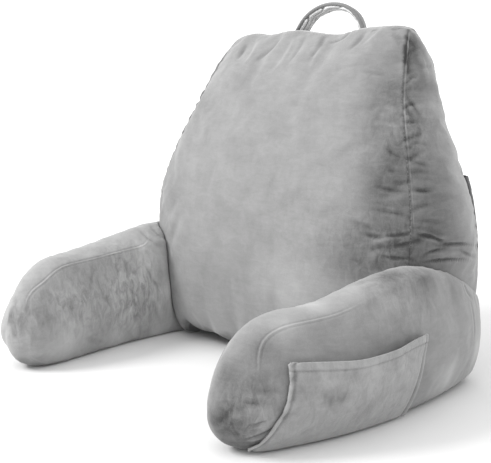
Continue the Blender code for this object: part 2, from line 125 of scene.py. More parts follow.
def photo_place(cloth, x, y):
    """Where the camera ray through a pixel of the photograph meets the cloth."""
    pixel = SENSOR / LENS / PHOTO_WIDTH  # its width at a distance of 1
    ray = camera.rotation_quaternion @ Vector(
        ((x - PHOTO_WIDTH / 2) * pixel, (PHOTO_HEIGHT / 2 - y) * pixel, -1))
    hit = cloth.ray_cast(camera.location, ray.normalized())[0]
    return None if hit is None else np.array(hit)


# %% [markdown]
# ## Studio
#
# A white floor and a white sky give the even light of a catalogue picture, and one large soft
# lamp at the front left makes the front panel brighter than the sides. The view transform is the
# plain sRGB one, so that a colour's hex value means the same in the picture.

# %% Colours, floor and light
def linear(hex_colour):
    """An sRGB hex colour as the linear red, green, blue and alpha that shaders take."""
    parts = [int(hex_colour[i:i + 2], 16) / 255 for i in (1, 3, 5)]
    parts = [p / 12.92 if p <= 0.04045 else ((p + 0.055) / 1.055)**2.4 for p in parts]
    return (*parts, 1.0)


SKY_STRENGTH = 1.35
KEY_POWER = 84.0                     # watts
KEY_SIZE = 1.4                       # metres across
KEY_FROM = Vector((-1.5, -2.2, 2.3))
FLOOR_HALF = 30                      # metres
FLOOR_DROP = 0.5 * MM                # keeps the floor clear of the pillow's underside

bpy.context.scene.view_settings.view_transform = "Standard"
sky = bpy.data.worlds.new("white_sky")
sky.use_nodes = True
background = sky.node_tree.nodes["Background"]
background.inputs["Color"].default_value = linear("#FFFFFF")
background.inputs["Strength"].default_value = SKY_STRENGTH
bpy.context.scene.world = sky

key = new_object("key_light", bpy.data.lights.new("key_light", "AREA"))
key.data.shape = "DISK"
key.data.size = KEY_SIZE
key.data.energy = KEY_POWER
key.location = KEY_FROM
key.rotation_mode = "QUATERNION"
key.rotation_quaternion = (KEY_FROM - VIEW_POINT).to_track_quat("Z", "Y")

bm = bmesh.new()
bmesh.ops.create_grid(bm, x_segments=1, y_segments=1, size=FLOOR_HALF)
floor = new_object("floor", mesh_of("floor", bm))
floor.location.z = -FLOOR_DROP
print("key light", KEY_POWER, "W, sky", SKY_STRENGTH)


# %% [markdown]
# ## Materials
#
# A material is a small graph of nodes. One helper adds a node, sets its values and links its
# inputs, and the materials below are written with it. Patterns use the object's own coordinates,
# which are metres here, so a pattern's scale is one over its real size.

# %% The node helper
def add_node(tree, kind, settings=None, **inputs):
    """Add a node. Inputs are plain values, or another node's output socket to link.

    An input goes by its name, or by its number as i0, i1 and so on.
    """
    made = tree.nodes.new(kind)
    for name, value in (settings or {}).items():
        setattr(made, name, value)
    for name, value in inputs.items():
        numbered = name[0] == "i" and name[1:].isdigit()
        socket = made.inputs[int(name[1:]) if numbered else name.replace("_", " ")]
        if isinstance(value, bpy.types.NodeSocket):
            tree.links.new(value, socket)
        else:
            socket.default_value = value
    return made


def new_material(name):
    """A material whose only nodes are its shader and output."""
    made = bpy.data.materials.new(name)
    made.use_nodes = True
    return made, made.node_tree, made.node_tree.nodes["Principled BSDF"]


# The floor is painted paler farther from the pillow: painted light that stands in for a paper
# sweep lit again farther back, so no horizon shows behind it.
SWEEP_NEAR, SWEEP_FAR = "#E0E0E0", "#FFFFFF"
SWEEP_CHANGE = (0.6, 2.2)            # metres from the pillow

floor_white, tree, shader = new_material("matt_white_floor")
away = add_node(tree, "ShaderNodeVectorMath", {"operation": "LENGTH"},
                i0=add_node(tree, "ShaderNodeTexCoord").outputs["Object"])
farther = add_node(tree, "ShaderNodeMapRange", {"interpolation_type": "SMOOTHSTEP"},
                   Value=away.outputs["Value"], From_Min=SWEEP_CHANGE[0], From_Max=SWEEP_CHANGE[1])
sweep_painted_light = add_node(tree, "ShaderNodeMix", {"data_type": "RGBA"}, i0=farther.outputs["Result"],
                 i6=linear(SWEEP_NEAR), i7=linear(SWEEP_FAR))
tree.links.new(sweep_painted_light.outputs[2], shader.inputs["Base Color"])
shader.inputs["Roughness"].default_value = 1.0
shader.inputs["Specular IOR Level"].default_value = 0.0
floor.data.materials.append(floor_white)

# %% [markdown]
# ### Brushed plush
#
# Plush is a short polyester pile on a knitted ground. Its fibres lie one way or another where a
# hand has brushed them, and pile that leans towards the eye looks darker than pile that leans
# away. So the cloth shows soft clouds and streaks of two greys. A vertex value adds the lay that a
# whole panel or a rubbed place has, and painted light and shade as well: painted shade in creases,
# grooves, hollows and on the underside, and painted light on seam lips, wrinkle crests and parts
# that lie in shade. Another, crush, says where the pile has been crushed into short upright
# streaks. Sheen gives the pale rim of pile seen edge on.

# %% Plush
NAP_LIGHT, NAP_DARK = "#ABABAB", "#3C3C3C"
PALEST_LAY = 1.4                     # 0 is the dark grey, 1 the light one, and pile may go past it
CLOUD_SIZE = [45 * MM] * 3           # brushed patches
STREAK_SIZE = (30 * MM, 30 * MM, 9 * MM)
CRUSH_SIZE = (11 * MM, 11 * MM, 22 * MM)
CRUSH_EDGES = (0.2, 0.8)             # noise values at which a crushed streak is darkest and palest
CRUSH_DEPTH = 3 * MM
TUFT_SIZE = [1.6 * MM] * 3           # tufts are under 1 mm, drawn coarser so that they show
TUFT_DEPTH = 0.6 * MM
CLOUD_SHARE, STREAK_SHARE, TUFT_SHARE = 0.28, 0.18, 0.14  # how far each pattern moves the tone


def plush_material(name, light=NAP_LIGHT, dark=NAP_DARK):
    """Brushed pile between two greys."""
    made, tree, shader = new_material(name)
    place = add_node(tree, "ShaderNodeTexCoord").outputs["Object"]

    def noise(size, **settings):
        stretch = add_node(tree, "ShaderNodeVectorMath", {"operation": "DIVIDE"}, i0=place, i1=size)
        return add_node(tree, "ShaderNodeTexNoise", Vector=stretch.outputs[0], Scale=1.0,
                        **settings).outputs["Fac"]

    clouds = noise(CLOUD_SIZE, Detail=4.0, Roughness=0.55, Distortion=0.6)
    streaks = noise(STREAK_SIZE, Detail=3.0, Roughness=0.6, Distortion=1.2)
    crushed = add_node(tree, "ShaderNodeMapRange", {"interpolation_type": "SMOOTHSTEP"},
                       Value=noise(CRUSH_SIZE, Detail=4.0, Roughness=0.62, Distortion=0.8),
                       From_Min=CRUSH_EDGES[0], From_Max=CRUSH_EDGES[1]).outputs["Result"]
    tufts = noise(TUFT_SIZE, Detail=2.0)
    crush = add_node(tree, "ShaderNodeAttribute", {"attribute_name": "crush"}).outputs["Fac"]
    # The vertex value read here is the pile's lay together with painted light and shade.
    total = add_node(tree, "ShaderNodeAttribute", {"attribute_name": "lay_and_painted_light"}).outputs["Fac"]
    for pattern, share in ((clouds, CLOUD_SHARE), (streaks, STREAK_SHARE),
                           (tufts, TUFT_SHARE), (crushed, crush)):
        even = add_node(tree, "ShaderNodeMath", {"operation": "SUBTRACT"}, i0=pattern, i1=0.5)
        total = add_node(tree, "ShaderNodeMath", {"operation": "MULTIPLY_ADD"},
                         i0=even.outputs[0], i1=share, i2=total).outputs[0]
    middle = add_node(tree, "ShaderNodeMath", {"operation": "ADD"}, i0=total, i1=0.5)
    lay = add_node(tree, "ShaderNodeClamp", Value=middle.outputs[0], Min=0.0, Max=PALEST_LAY)
    colour = add_node(tree, "ShaderNodeMix", {"data_type": "RGBA", "clamp_factor": False},
                      i0=lay.outputs[0], i6=linear(dark), i7=linear(light))
    pressed = add_node(tree, "ShaderNodeMath", {"operation": "MULTIPLY"}, i0=crushed, i1=crush)
    uneven = add_node(tree, "ShaderNodeBump", Height=pressed.outputs[0],
                      Strength=0.6, Distance=CRUSH_DEPTH)
    bumps = add_node(tree, "ShaderNodeBump", Height=tufts, Normal=uneven.outputs["Normal"],
                     Strength=0.35, Distance=TUFT_DEPTH)
    tree.links.new(colour.outputs[2], shader.inputs["Base Color"])
    tree.links.new(bumps.outputs["Normal"], shader.inputs["Normal"])
    shader.inputs["Roughness"].default_value = 0.95
    shader.inputs["Specular IOR Level"].default_value = 0.15
    shader.inputs["Sheen Weight"].default_value = 0.4
    shader.inputs["Sheen Roughness"].default_value = 0.45
    shader.inputs["Sheen Tint"].default_value = linear("#F0F0F0")
    return made


plush = plush_material("brushed_plush")
print("plush patterns", CLOUD_SIZE, STREAK_SIZE, TUFT_SIZE)

# %% [markdown]
# ### Pocket cloth and strap
#
# The back pocket is a plain woven polyester, nearly black. Two wave patterns at right angles give
# its threads. The strap's outer face is smooth knitted tape, and its inner face is a paler plush.

# %% Woven cloth and tape
THREAD = 1.2 * MM                    # threads are about 0.4 mm, drawn coarser so that they show
THREAD_DEPTH = 0.3 * MM
WAVE_REPEAT = math.pi / 10           # of Blender's wave texture at a scale of 1
WEAR_SIZE = 60 * MM


def woven_material(name, colour, pale, roughness):
    """Plain weave: one set of threads over the other."""
    made, tree, shader = new_material(name)
    place = add_node(tree, "ShaderNodeTexCoord").outputs["Object"]
    heights = []
    for direction in ("X", "Z"):
        wave = add_node(tree, "ShaderNodeTexWave", {"bands_direction": direction}, Vector=place,
                        Scale=WAVE_REPEAT / THREAD, Distortion=0.4, Detail=1.0)
        heights.append(wave.outputs["Fac"])
    weave = add_node(tree, "ShaderNodeMath", {"operation": "MAXIMUM"}, i0=heights[0], i1=heights[1])
    wear = add_node(tree, "ShaderNodeTexNoise", Vector=place, Scale=1 / WEAR_SIZE, Detail=3.0)
    tone = add_node(tree, "ShaderNodeMath", {"operation": "MULTIPLY"},
                    i0=weave.outputs[0], i1=wear.outputs["Fac"])
    mix = add_node(tree, "ShaderNodeMix", {"data_type": "RGBA"}, i0=tone.outputs[0],
                   i6=linear(colour), i7=linear(pale))
    bumps = add_node(tree, "ShaderNodeBump", Height=weave.outputs[0], Strength=0.5,
                     Distance=THREAD_DEPTH)
    tree.links.new(mix.outputs[2], shader.inputs["Base Color"])
    tree.links.new(bumps.outputs["Normal"], shader.inputs["Normal"])
    shader.inputs["Roughness"].default_value = roughness
    shader.inputs["Sheen Weight"].default_value = 0.15
    return made


dark_weave = woven_material("dark_woven_polyester", "#1A1A1C", "#333336", 0.75)
tape = woven_material("grey_knitted_tape", "#606060", "#8C8C8C", 0.8)


# %% [markdown]
# ## Mesh tools
#
# Cloth is shaped here by moving many points at once, so a mesh's points are read as one numpy
# array, moved, and written back.

# %% Points, normals and modifiers
def points_of(mesh):
    """The mesh's points as rows of x, y, z."""
    flat = np.empty(len(mesh.vertices) * 3, np.float32)
    mesh.vertices.foreach_get("co", flat)
    return flat.reshape(-1, 3).astype(float)


def put_points(mesh, points):
    """Write the points back."""
    mesh.vertices.foreach_set("co", points.astype(np.float32).ravel())
    mesh.update()


def normals_of(mesh):
    """The direction out of the surface at each point."""
    flat = np.empty(len(mesh.vertices) * 3, np.float32)
    mesh.vertex_normals.foreach_get("vector", flat)
    return flat.reshape(-1, 3).astype(float)


def applied(piece):
    """Make the piece's modifiers part of its mesh."""
    seen = piece.evaluated_get(bpy.context.evaluated_depsgraph_get())
    mesh = bpy.data.meshes.new_from_object(seen)
    piece.modifiers.clear()
    piece.data = mesh
    return piece


OWN_SHARE = 0.4                      # of a point's value that stays in each round of smoothing


def smoothed(values, mesh, rounds):
    """Average values over the mesh's edges, again and again, which leaves only broad changes."""
    pairs = np.empty(len(mesh.edges) * 2, np.int32)
    mesh.edges.foreach_get("vertices", pairs)
    a, b = pairs.reshape(-1, 2).T
    count = np.bincount(a, minlength=len(values)) + np.bincount(b, minlength=len(values))
    count = np.maximum(count, 1)[:, None]
    for _ in range(rounds):
        total = np.zeros_like(values)
        for k in range(values.shape[1]):
            total[:, k] = (np.bincount(a, values[b, k], len(values))
                           + np.bincount(b, values[a, k], len(values)))
        values = OWN_SHARE * values + (1 - OWN_SHARE) * total / count
    return values


def tree_of(lines, step=2 * MM):
    """A search tree of points along some lines."""
    places = []
    for line in lines:
        for a, b in zip(line, line[1:]):
            count = max(1, math.ceil(np.linalg.norm(b - a) / step))
            places += [a + (b - a) * k / count for k in range(count)]
        places.append(line[-1])
    tree = KDTree(len(places))
    for number, place in enumerate(places):
        tree.insert(place, number)
    tree.balance()
    return tree


def distances(tree, points):
    """How far each point is from the nearest place in the tree."""
    return np.array([tree.find(point)[2] for point in points])


def surface_of(mesh):
    """A tree of the mesh's faces, for rays and nearest points."""
    return BVHTree.FromPolygons([v.co for v in mesh.vertices],
                                [tuple(face.vertices) for face in mesh.polygons])


def ramp(values, start, end):
    """0 up to start, 1 from end, and a smooth change between."""
    t = np.clip((values - start) / (end - start), 0, 1)
    return t * t * (3 - 2 * t)


# %% [markdown]
# ## Seams
#
# A seam runs where two panels meet at an edge. In a level section of the backrest it is the point
# that reaches farthest out diagonally, and so are an arm's seams in sections across the arm. Each
# seam is read off the solid that way, section by section, and smoothed.

# %% Read the seams off the solids
def edge_ends(node):
    """Both ends of every edge of a solid."""
    bm = bmesh.new()
    bm.from_mesh(frame["nodes"][node].data)
    bmesh.ops.remove_doubles(bm, verts=bm.verts, dist=MERGED)
    ends = np.array([[v.co[:] for v in edge.verts] for edge in bm.edges])
    bm.free()
    return ends


def section(ends, point, normal):
    """Where a plane cuts a solid's edges."""
    side = (ends - np.array(point)) @ np.array(normal)
    cut = side[:, 0] * side[:, 1] < 0
    share = (side[cut, 0] / (side[cut, 0] - side[cut, 1]))[:, None]
    return ends[cut, 0] + (ends[cut, 1] - ends[cut, 0]) * share


def evened(line, rounds):
    """Average each place with its two neighbours, the ends kept."""
    for _ in range(rounds):
        line[1:-1] = (line[:-2] + 2 * line[1:-1] + line[2:]) / 4
    return line


def seam_line(ends, planes, rounds=3):
    """planes is a list of (point, normal, outward). Gives each section's farthest outward point."""
    line = []
    for point, normal, outward in planes:
        places = section(ends, point, normal)
        line.append(places[np.argmax((places - point) @ np.array(outward))])
    return evened(np.array(line), rounds)


SEAM_FOOT, SEAM_HEAD = 4 * MM, 8 * MM  # the end levels, from the backrest's base and top
SEAM_LEVELS, CREST_SECTIONS = 90, 70
CREST_INSET = 2 * MM                 # the crest's seam ends this far inside the front seams
back_ends = edge_ends("backrest")
levels = np.linspace(SEAM_FOOT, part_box("backrest")[1].z - SEAM_HEAD, SEAM_LEVELS)
SEAM_NAMES = {"front_right": (1, -1, 0), "front_left": (-1, -1, 0),
              "rear_right": (1, 1, 0), "rear_left": (-1, 1, 0)}
back_seams = {name: seam_line(back_ends, [((0, 0, z), (0, 0, 1), out) for z in levels])
              for name, out in SEAM_NAMES.items()}
crest_half = back_seams["front_right"][-1][0] - CREST_INSET
back_seams["crest"] = seam_line(back_ends, [
    ((x, 0, 0), (1, 0, 0), (0, 0, 1)) for x in np.linspace(-crest_half, crest_half, CREST_SECTIONS)])

# Near the top the right rear seam was sewn a little forward, so it shows inside the outline.
SEWN_FORWARD, SEWN_FORWARD_FROM = 10 * MM, (0.40, 0.46)
solid_surface = {name: surface_of(node.data) for name, node in frame["nodes"].items()}
line = back_seams["rear_right"].copy()
line[:, 1] -= SEWN_FORWARD * ramp(line[:, 2], *SEWN_FORWARD_FROM)
back_seams["rear_right"] = np.array(
    [solid_surface["backrest"].find_nearest(place)[0] for place in line])


NOSE_BACK, NOSE_UP = 70 * MM, 60 * MM  # the point inside the tip that its sections turn about
ARM_REAR = 60 * MM                   # length at the rear that has no sections
ARM_STEP, NOSE_STEP = 6 * MM, 6      # from one section to the next, and in degrees round the tip


def arm_seams(side):
    """An arm's outer and inner seam, along the top, down round the tip and back underneath."""
    node = "arm_right" if side > 0 else "arm_left"
    ends = edge_ends(node)
    low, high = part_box(node)
    pivot = np.array((0, low.y + NOSE_BACK, NOSE_UP))
    seams = {}
    for name, out in (("outer", side), ("inner", -side)):
        top = [((0, y, pivot[2]), (0, 1, 0), (out, 0, 1))
               for y in np.arange(high.y - ARM_REAR, pivot[1], -ARM_STEP)]
        nose = []
        for angle in np.radians(np.arange(0, 181, NOSE_STEP)):
            ahead = np.array((0, -math.sin(angle), math.cos(angle)))
            nose.append((pivot, (0, math.cos(angle), math.sin(angle)), ahead + (out, 0, 0)))
        under = [((0, y, pivot[2]), (0, 1, 0), (out, 0, -1))
                 for y in np.arange(pivot[1], high.y - ARM_REAR, ARM_STEP)]
        seams[name] = seam_line(ends, top + nose + under)
    return seams


right_seams, left_seams = arm_seams(1), arm_seams(-1)
for name, line in [*back_seams.items(), *right_seams.items()]:
    length = np.linalg.norm(np.diff(line, axis=0), axis=1).sum()
    print("seam", name, len(line), "points", round(length, 3), "m")

# %% [markdown]
# ## Filled cloth
#
# A filled panel is a little larger than the space between its seams, so the filling pushes it out
# and the cloth puckers along the seams. Blender's cloth does that: each solid is remeshed into
# even faces, its seams are pinned, pressure pushes from inside and the cloth may grow by a few
# percent. The solids already have the full crown, so only the folds of the result are kept, and
# little of the swelling.

# %% Remesh and inflate
GRAIN = {"backrest": 6.5 * MM, "arm_right": 5 * MM, "arm_left": 5 * MM}  # size of the faces
PINNED, FREE = 4 * MM, 11 * MM       # distance from a seam where the cloth is held, and free
HELD_BY_FLOOR = (3 * MM, 12 * MM)    # the same from the floor
HELD_BY_NEIGHBOUR = (4 * MM, 12 * MM)  # and from a neighbour
PRESSURE = 3.0
EXTRA_CLOTH = 0.045                  # how much the cloth may grow, as a share of its length
BENDING = 6.0
BROAD_ROUNDS = 40                    # of smoothing that tell the swelling from the folds
SWELL_KEPT = 0.15
FOLDS_KEPT = {"backrest": 0.6, "arm_right": 0.25, "arm_left": 0.35}
MOST_FOLD = 9 * MM
FRAMES = 20                          # of the simulation


def even_copy(node):
    """A copy of a solid with even faces and slightly softened edges."""
    piece = new_object(f"{node}_plush", frame["nodes"][node].data.copy())
    piece.modifiers.new("weld", "WELD").merge_threshold = MERGED
    grid = piece.modifiers.new("even", "REMESH")
    grid.mode = "VOXEL"
    grid.voxel_size = GRAIN[node]
    soften = piece.modifiers.new("soften", "SMOOTH")
    soften.iterations = 2
    return applied(piece)


def add_cloth(piece, held):
    """Give a piece a cloth modifier. held is 1 where its points can't move."""
    group = piece.vertex_groups.new(name="held")
    steps = np.round(held, 1)
    for weight in np.unique(steps[steps > 0]):
        group.add(np.nonzero(steps == weight)[0].tolist(), float(weight), "REPLACE")
    cloth = piece.modifiers.new("cloth", "CLOTH")
    cloth.settings.quality = 6
    cloth.settings.mass = 0.15
    cloth.settings.vertex_group_mass = "held"
    cloth.settings.use_pressure = True
    cloth.settings.uniform_pressure_force = PRESSURE
    cloth.settings.shrink_min = -EXTRA_CLOTH
    cloth.settings.tension_stiffness = 12
    cloth.settings.compression_stiffness = 12
    cloth.settings.shear_stiffness = 4
    cloth.settings.bending_stiffness = BENDING
    cloth.settings.air_damping = 2
    cloth.settings.effector_weights.gravity = 0
    cloth.collision_settings.use_collision = False


def inflate(pieces):
    """Run the cloth of all the pieces together, and keep its folds."""
    before = [points_of(piece.data) for piece in pieces]
    for number in range(1, FRAMES + 1):
        bpy.context.scene.frame_set(number)
    for piece, start in zip(pieces, before):
        applied(piece)
        moved = points_of(piece.data) - start
        broad = smoothed(moved, piece.data, BROAD_ROUNDS)
        kept = (moved - broad) * FOLDS_KEPT[piece.name.removesuffix("_plush")] + broad * SWELL_KEPT
        size = np.linalg.norm(kept, axis=1)[:, None]
        kept *= MOST_FOLD * np.tanh(size / MOST_FOLD) / np.maximum(size, 1e-9)
        put_points(piece.data, start + kept)
        print(piece.name, len(start), "points, folds of", round(float(size.mean() / MM), 2),
              "mm, largest", round(float(size.max() / MM), 1))
    bpy.context.scene.frame_set(1)


def held_points(piece, lines, neighbours):
    """1 on the seams, on the floor and where a neighbour is sewn on or lies against the piece."""
    points = points_of(piece.data)
    held = 1 - ramp(distances(tree_of(lines), points), PINNED, FREE)
    held = np.maximum(held, 1 - ramp(points[:, 2], *HELD_BY_FLOOR))
    for node in neighbours:
        far = np.array([solid_surface[node].find_nearest(point)[3] for point in points])
        held = np.maximum(held, 1 - ramp(far, *HELD_BY_NEIGHBOUR))
    return held


backrest = even_copy("backrest")
arms = {"right": even_copy("arm_right"), "left": even_copy("arm_left")}
seam_lines = {"backrest": list(back_seams.values()), "right": list(right_seams.values()),
              "left": list(left_seams.values())}
add_cloth(backrest, held_points(backrest, seam_lines["backrest"],
                                ("arm_right", "arm_left", "back_pocket")))
for side, arm in arms.items():
    add_cloth(arm, held_points(arm, seam_lines[side], ("backrest", f"pocket_{side}")))
inflate([backrest, *arms.values()])


# %% [markdown]
# ## Creases
#
# Some creases are the photograph's own: gathers under the crest, drag lines beside the front seam,
# and the crush just above the right arm, where the backrest settles on it. Each row of a table is
# one crease: its two ends in the photograph, how far its middle bows sideways, its half width and
# depth in millimetres, and a negative depth is a ridge. A trough pushes up small lips beside it.

# %% Creases from the photograph
Crease = namedtuple("Crease", "x1 y1 x2 y2 bow width depth")
BACKREST_CREASES = (
    # gathers under the crest
    Crease(236, 60, 247, 43, 1, 5, 2.0),
    Crease(244, 64, 258, 40, 2, 4, -1.8),
    Crease(252, 62, 282, 36, 3, 5, 1.8),
    Crease(272, 72, 296, 34, 3, 4, -1.8),
    Crease(287, 64, 306, 33, 2, 5, 1.4),
    Crease(310, 58, 325, 34, 2, 4, 2.2),
    Crease(309, 70, 322, 40, 1, 4, -1.5),
    Crease(329, 43, 352, 29, 3, 3, 2.6),
    Crease(347, 50, 366, 31, 2, 4, 1.6),
    Crease(362, 46, 380, 30, 1, 4, -1.4),
    Crease(384, 27, 402, 28, 0, 3, 2.2),
    # drag lines of the front panel, from the top down
    Crease(337, 70, 371, 65, -2, 3, 0.8),
    Crease(362, 70, 386, 75, 1, 2.5, 1.4),
    Crease(376, 118, 398, 122, 1, 3, 0.9),
    Crease(392, 130, 398, 145, 1, 2.5, 1.6),
    Crease(383, 146, 401, 158, 1, 3, 1.6),
    Crease(386, 170, 405, 173, 0, 2.5, 1.2),
    Crease(376, 186, 406, 192, 1, 2.5, 2.0),
    Crease(372, 200, 404, 197, 1, 4, -1.2),
    Crease(372, 210, 408, 217, -1, 2.5, 2.0),
    Crease(350, 222, 374, 231, -1, 4, 1.5),
    # crush above the arm, front panel
    Crease(362, 233, 386, 238, 1, 2.5, 3.0),
    Crease(384, 236, 412, 233, 1, 2, 3.2),
    Crease(371, 243, 392, 240, -1, 5, -2.0),
    Crease(366, 249, 386, 246, 1, 3, 1.8),
    Crease(394, 247, 413, 243, 0, 2, 2.8),
    Crease(391, 253, 408, 251, 0, 3, -1.8),
    Crease(380, 256, 411, 259, 1, 2, 2.8),
    # side strip
    Crease(404, 34, 418, 52, -1, 3, 3.0),
    Crease(412, 42, 428, 84, -3, 4, -2.6),
    Crease(406, 40, 410, 78, 1, 4, 2.4),
    Crease(407, 96, 424, 120, 0, 2.5, 2.4),
    Crease(405, 106, 415, 121, 0, 2.5, 1.6),
    Crease(416, 108, 432, 124, 0, 4, -1.2),
    Crease(409, 140, 430, 146, 0, 2.5, 1.2),
    Crease(407, 158, 432, 167, 1, 2.5, 2.0),
    Crease(410, 178, 436, 181, -1, 3, 1.1),
    Crease(414, 191, 431, 191, 0, 2.5, 1.8),
    Crease(428, 193, 450, 190, 1, 3, -1.2),
    Crease(416, 219, 444, 223, 1, 3, 1.4),
    # crush above the arm, side strip
    Crease(416, 234, 445, 243, -1, 2, 4.0),
    Crease(436, 246, 475, 245, -1, 2, 4.0),
    Crease(424, 240, 452, 236, 1, 4, -1.8),
    Crease(422, 256, 448, 248, -1, 2, 3.0),
    Crease(432, 255, 462, 252, 1, 4, -1.8),
    Crease(418, 263, 470, 260, -1, 2, 3.0),
    Crease(459, 249, 477, 257, 2, 2, 2.4),
)
RIGHT_ARM_CREASES = (
    Crease(243, 403, 271, 402, 1, 3, 1.6),
    Crease(246, 411, 270, 412, 1, 4, -1.4),
    Crease(247, 427, 268, 421, 1, 2.5, 1.8),
    Crease(246, 441, 276, 428, 1, 2.5, 2.6),
    Crease(250, 446, 272, 440, 1, 2.5, 1.6),
    Crease(252, 391, 279, 390, 1, 4, 1.0),
    Crease(215, 424, 232, 408, 2, 4, 1.0),
    Crease(464, 282, 474, 300, 2, 2.5, 1.6),
    Crease(470, 300, 474, 340, -2, 3, 1.2),
    Crease(342, 284, 380, 270, -3, 5, 1.6),
    Crease(352, 292, 384, 282, -2, 5, -1.2),
)
LEFT_ARM_CREASES = (
    Crease(140, 230, 165, 247, 2, 4, 2.4),
    Crease(150, 226, 168, 240, 1, 3, 2.0),
    Crease(136, 240, 160, 256, 2, 4, -1.6),
    Crease(121, 255, 118, 275, 1, 3, 1.6),
    Crease(96, 268, 92, 292, 2, 4, 1.4),
    Crease(100, 290, 118, 306, 2, 5, 1.6),
    Crease(128, 278, 134, 306, -2, 4, 1.4),
    Crease(146, 262, 162, 290, 2, 4, 1.6),
    Crease(150, 296, 160, 322, -2, 4, 1.4),
    Crease(62, 300, 84, 316, 1, 6, 1.4),
    Crease(118, 312, 128, 334, 2, 5, 1.4),
    Crease(84, 336, 104, 344, 1, 4, 1.2),
    Crease(12, 326, 20, 342, 1, 3, 1.4),
    Crease(26, 306, 36, 316, 1, 4, 1.0),
)
CREASE_STEPS = 24
Route = namedtuple("Route", "places shares half depth")


def crease_route(crease, cloth):
    """The crease on the cloth: where the camera rays meet it, and how far along each place is."""
    across = np.array((crease.y1 - crease.y2, crease.x2 - crease.x1), float)
    across /= np.linalg.norm(across)
    places, shares = [], []
    for share in np.linspace(0, 1, CREASE_STEPS):
        bow = crease.bow * 4 * share * (1 - share)
        x = crease.x1 + (crease.x2 - crease.x1) * share + across[0] * bow
        y = crease.y1 + (crease.y2 - crease.y1) * share + across[1] * bow
        place = photo_place(cloth, x, y)
        if place is not None:
            places.append(place)
            shares.append(share)
    return Route(np.array(places), np.array(shares), crease.width * MM, crease.depth * MM)


def crease_routes(piece, creases):
    """The routes of a table's creases on a piece."""
    cloth = surface_of(piece.data)
    routes = [crease_route(crease, cloth) for crease in creases]
    return [route for route in routes if len(route.places) > 1]


filled = {"backrest": backrest, **arms}
tables = {"backrest": BACKREST_CREASES, "right": RIGHT_ARM_CREASES, "left": LEFT_ARM_CREASES}
routes = {name: crease_routes(filled[name], table) for name, table in tables.items()}
print("creases", {name: len(found) for name, found in routes.items()})

# %% [markdown]
# ### Puckers
#
# Thread draws a seam a little shorter than the cloth beside it, and the surplus shows as short
# puckers at right angles to the seam. Each row of the table is one seam and the way its puckers
# run from it, over which heights in metres, and their spacing, length and depth in millimetres.
# Their places, lengths and depths vary at random, with a fixed seed.

# %% Puckers along the seams
Pucker = namedtuple("Pucker", "seam run low high spacing length depth")
PUCKERS = (
    Pucker("front_right", (0, 1, 0), 0.20, 0.49, 19, 34, 1.9),
    Pucker("front_right", (-1, 0, 0), 0.20, 0.49, 24, 24, 1.0),
    Pucker("rear_right", (0, -1, 0), 0.20, 0.48, 24, 28, 1.5),
    Pucker("front_left", (0, 1, 0), 0.20, 0.49, 19, 32, 1.9),
    Pucker("front_left", (1, 0, 0), 0.20, 0.49, 24, 20, 0.9),
    Pucker("rear_left", (0, -1, 0), 0.20, 0.48, 24, 28, 1.5),
)
PUCKER_STEPS = 8
PUCKER_HALF = 3.0 * MM
PUCKER_TILT = 0.18                   # how far it strays from a right angle to the seam
PUCKER_ENDS = (0.05, 1)              # shares of its length between which it lies
PUCKER_RISE = (0.15, 1)              # shares of its fade: it is over half deep at the seam
# Each varies between these shares of its value.
SPACINGS, LENGTHS, WIDTHS, DEPTHS = (0.6, 1.5), (0.6, 1.3), (0.8, 1.3), (0.4, 1.3)
draw = np.random.default_rng(11)


def pucker_routes(row, cloth):
    """Short troughs that start on a seam and run away from it over the cloth."""
    seam = back_seams[row.seam]
    found = []
    height = row.low + row.spacing * MM * draw.random()
    while height < row.high:
        start = np.array([np.interp(height, seam[:, 2], seam[:, k]) for k in range(3)])
        run = np.array(row.run, float) + (0, 0, draw.normal(0, PUCKER_TILT))
        length = row.length * MM * draw.uniform(*LENGTHS)
        places = [np.array(cloth.find_nearest(start + run * length * share)[0])
                  for share in np.linspace(*PUCKER_ENDS, PUCKER_STEPS)]
        shares = np.linspace(*PUCKER_RISE, PUCKER_STEPS)
        found.append(Route(np.array(places), shares, PUCKER_HALF * draw.uniform(*WIDTHS),
                           row.depth * MM * draw.uniform(*DEPTHS)))
        height += row.spacing * MM * draw.uniform(*SPACINGS)
    return found


backrest_surface = surface_of(backrest.data)
for row in PUCKERS:
    routes["backrest"] += pucker_routes(row, backrest_surface)
print("creases and puckers of the backrest", len(routes["backrest"]))

# %% [markdown]
# ### Finer faces and seam lips
#
# Two panels are sewn face to face and turned, so their edges stand up inside as a narrow ridge
# between two grooves. Faces near the seams and creases are split finer for that, and ridges and
# grooves are moves along the surface's own direction. The arms' seams are pressed flatter than the
# backrest's, and show mainly along the top.

# %% Finer faces, seam lips and creases
LIP_HALF, LIP_HEIGHT = 1.3 * MM, 1.3 * MM
GROOVE_AT, GROOVE_HALF, GROOVE_DEPTH = 2.8 * MM, 1.3 * MM, 1.0 * MM
VALLEY_HALF, VALLEY_DEPTH = 9 * MM, 1.2 * MM
SEAM_STEP = 0.5 * MM                 # between the places that distances from a seam are taken to
CREASE_BAND = 7 * MM                 # faces are halved this near to a crease or seam
SEAM_BAND = 4.5 * MM                 # and again this near to a seam
ARM_SEAM_SHOWS = (100 * MM, 135 * MM)  # heights between which an arm's seam comes out of the pile
SEAM_FADES = {"right": (-0.13, -0.07), "left": (-0.02, 0.01)}  # and the Y where it goes under
ARM_SEAM_SHARE = 0.1                 # how much of a seam shows elsewhere
ARM_SEAM_HEIGHT = 0.6                # as a share of the backrest's
CREASE_REACH = 4                     # half widths, beyond which a crease moves nothing
CREASE_ENDS = (0.02, 0.98)           # keep a little depth at a crease's ends
CREASE_FADE = 0.7                    # lower keeps the depth nearer to the ends
CREASE_LIP_AT, CREASE_LIP = 2.2, 0.3  # its lips, in half widths and as a share of its depth
SHARP_BELOW = 3.2 * MM               # creases of a smaller half width are sharp folds


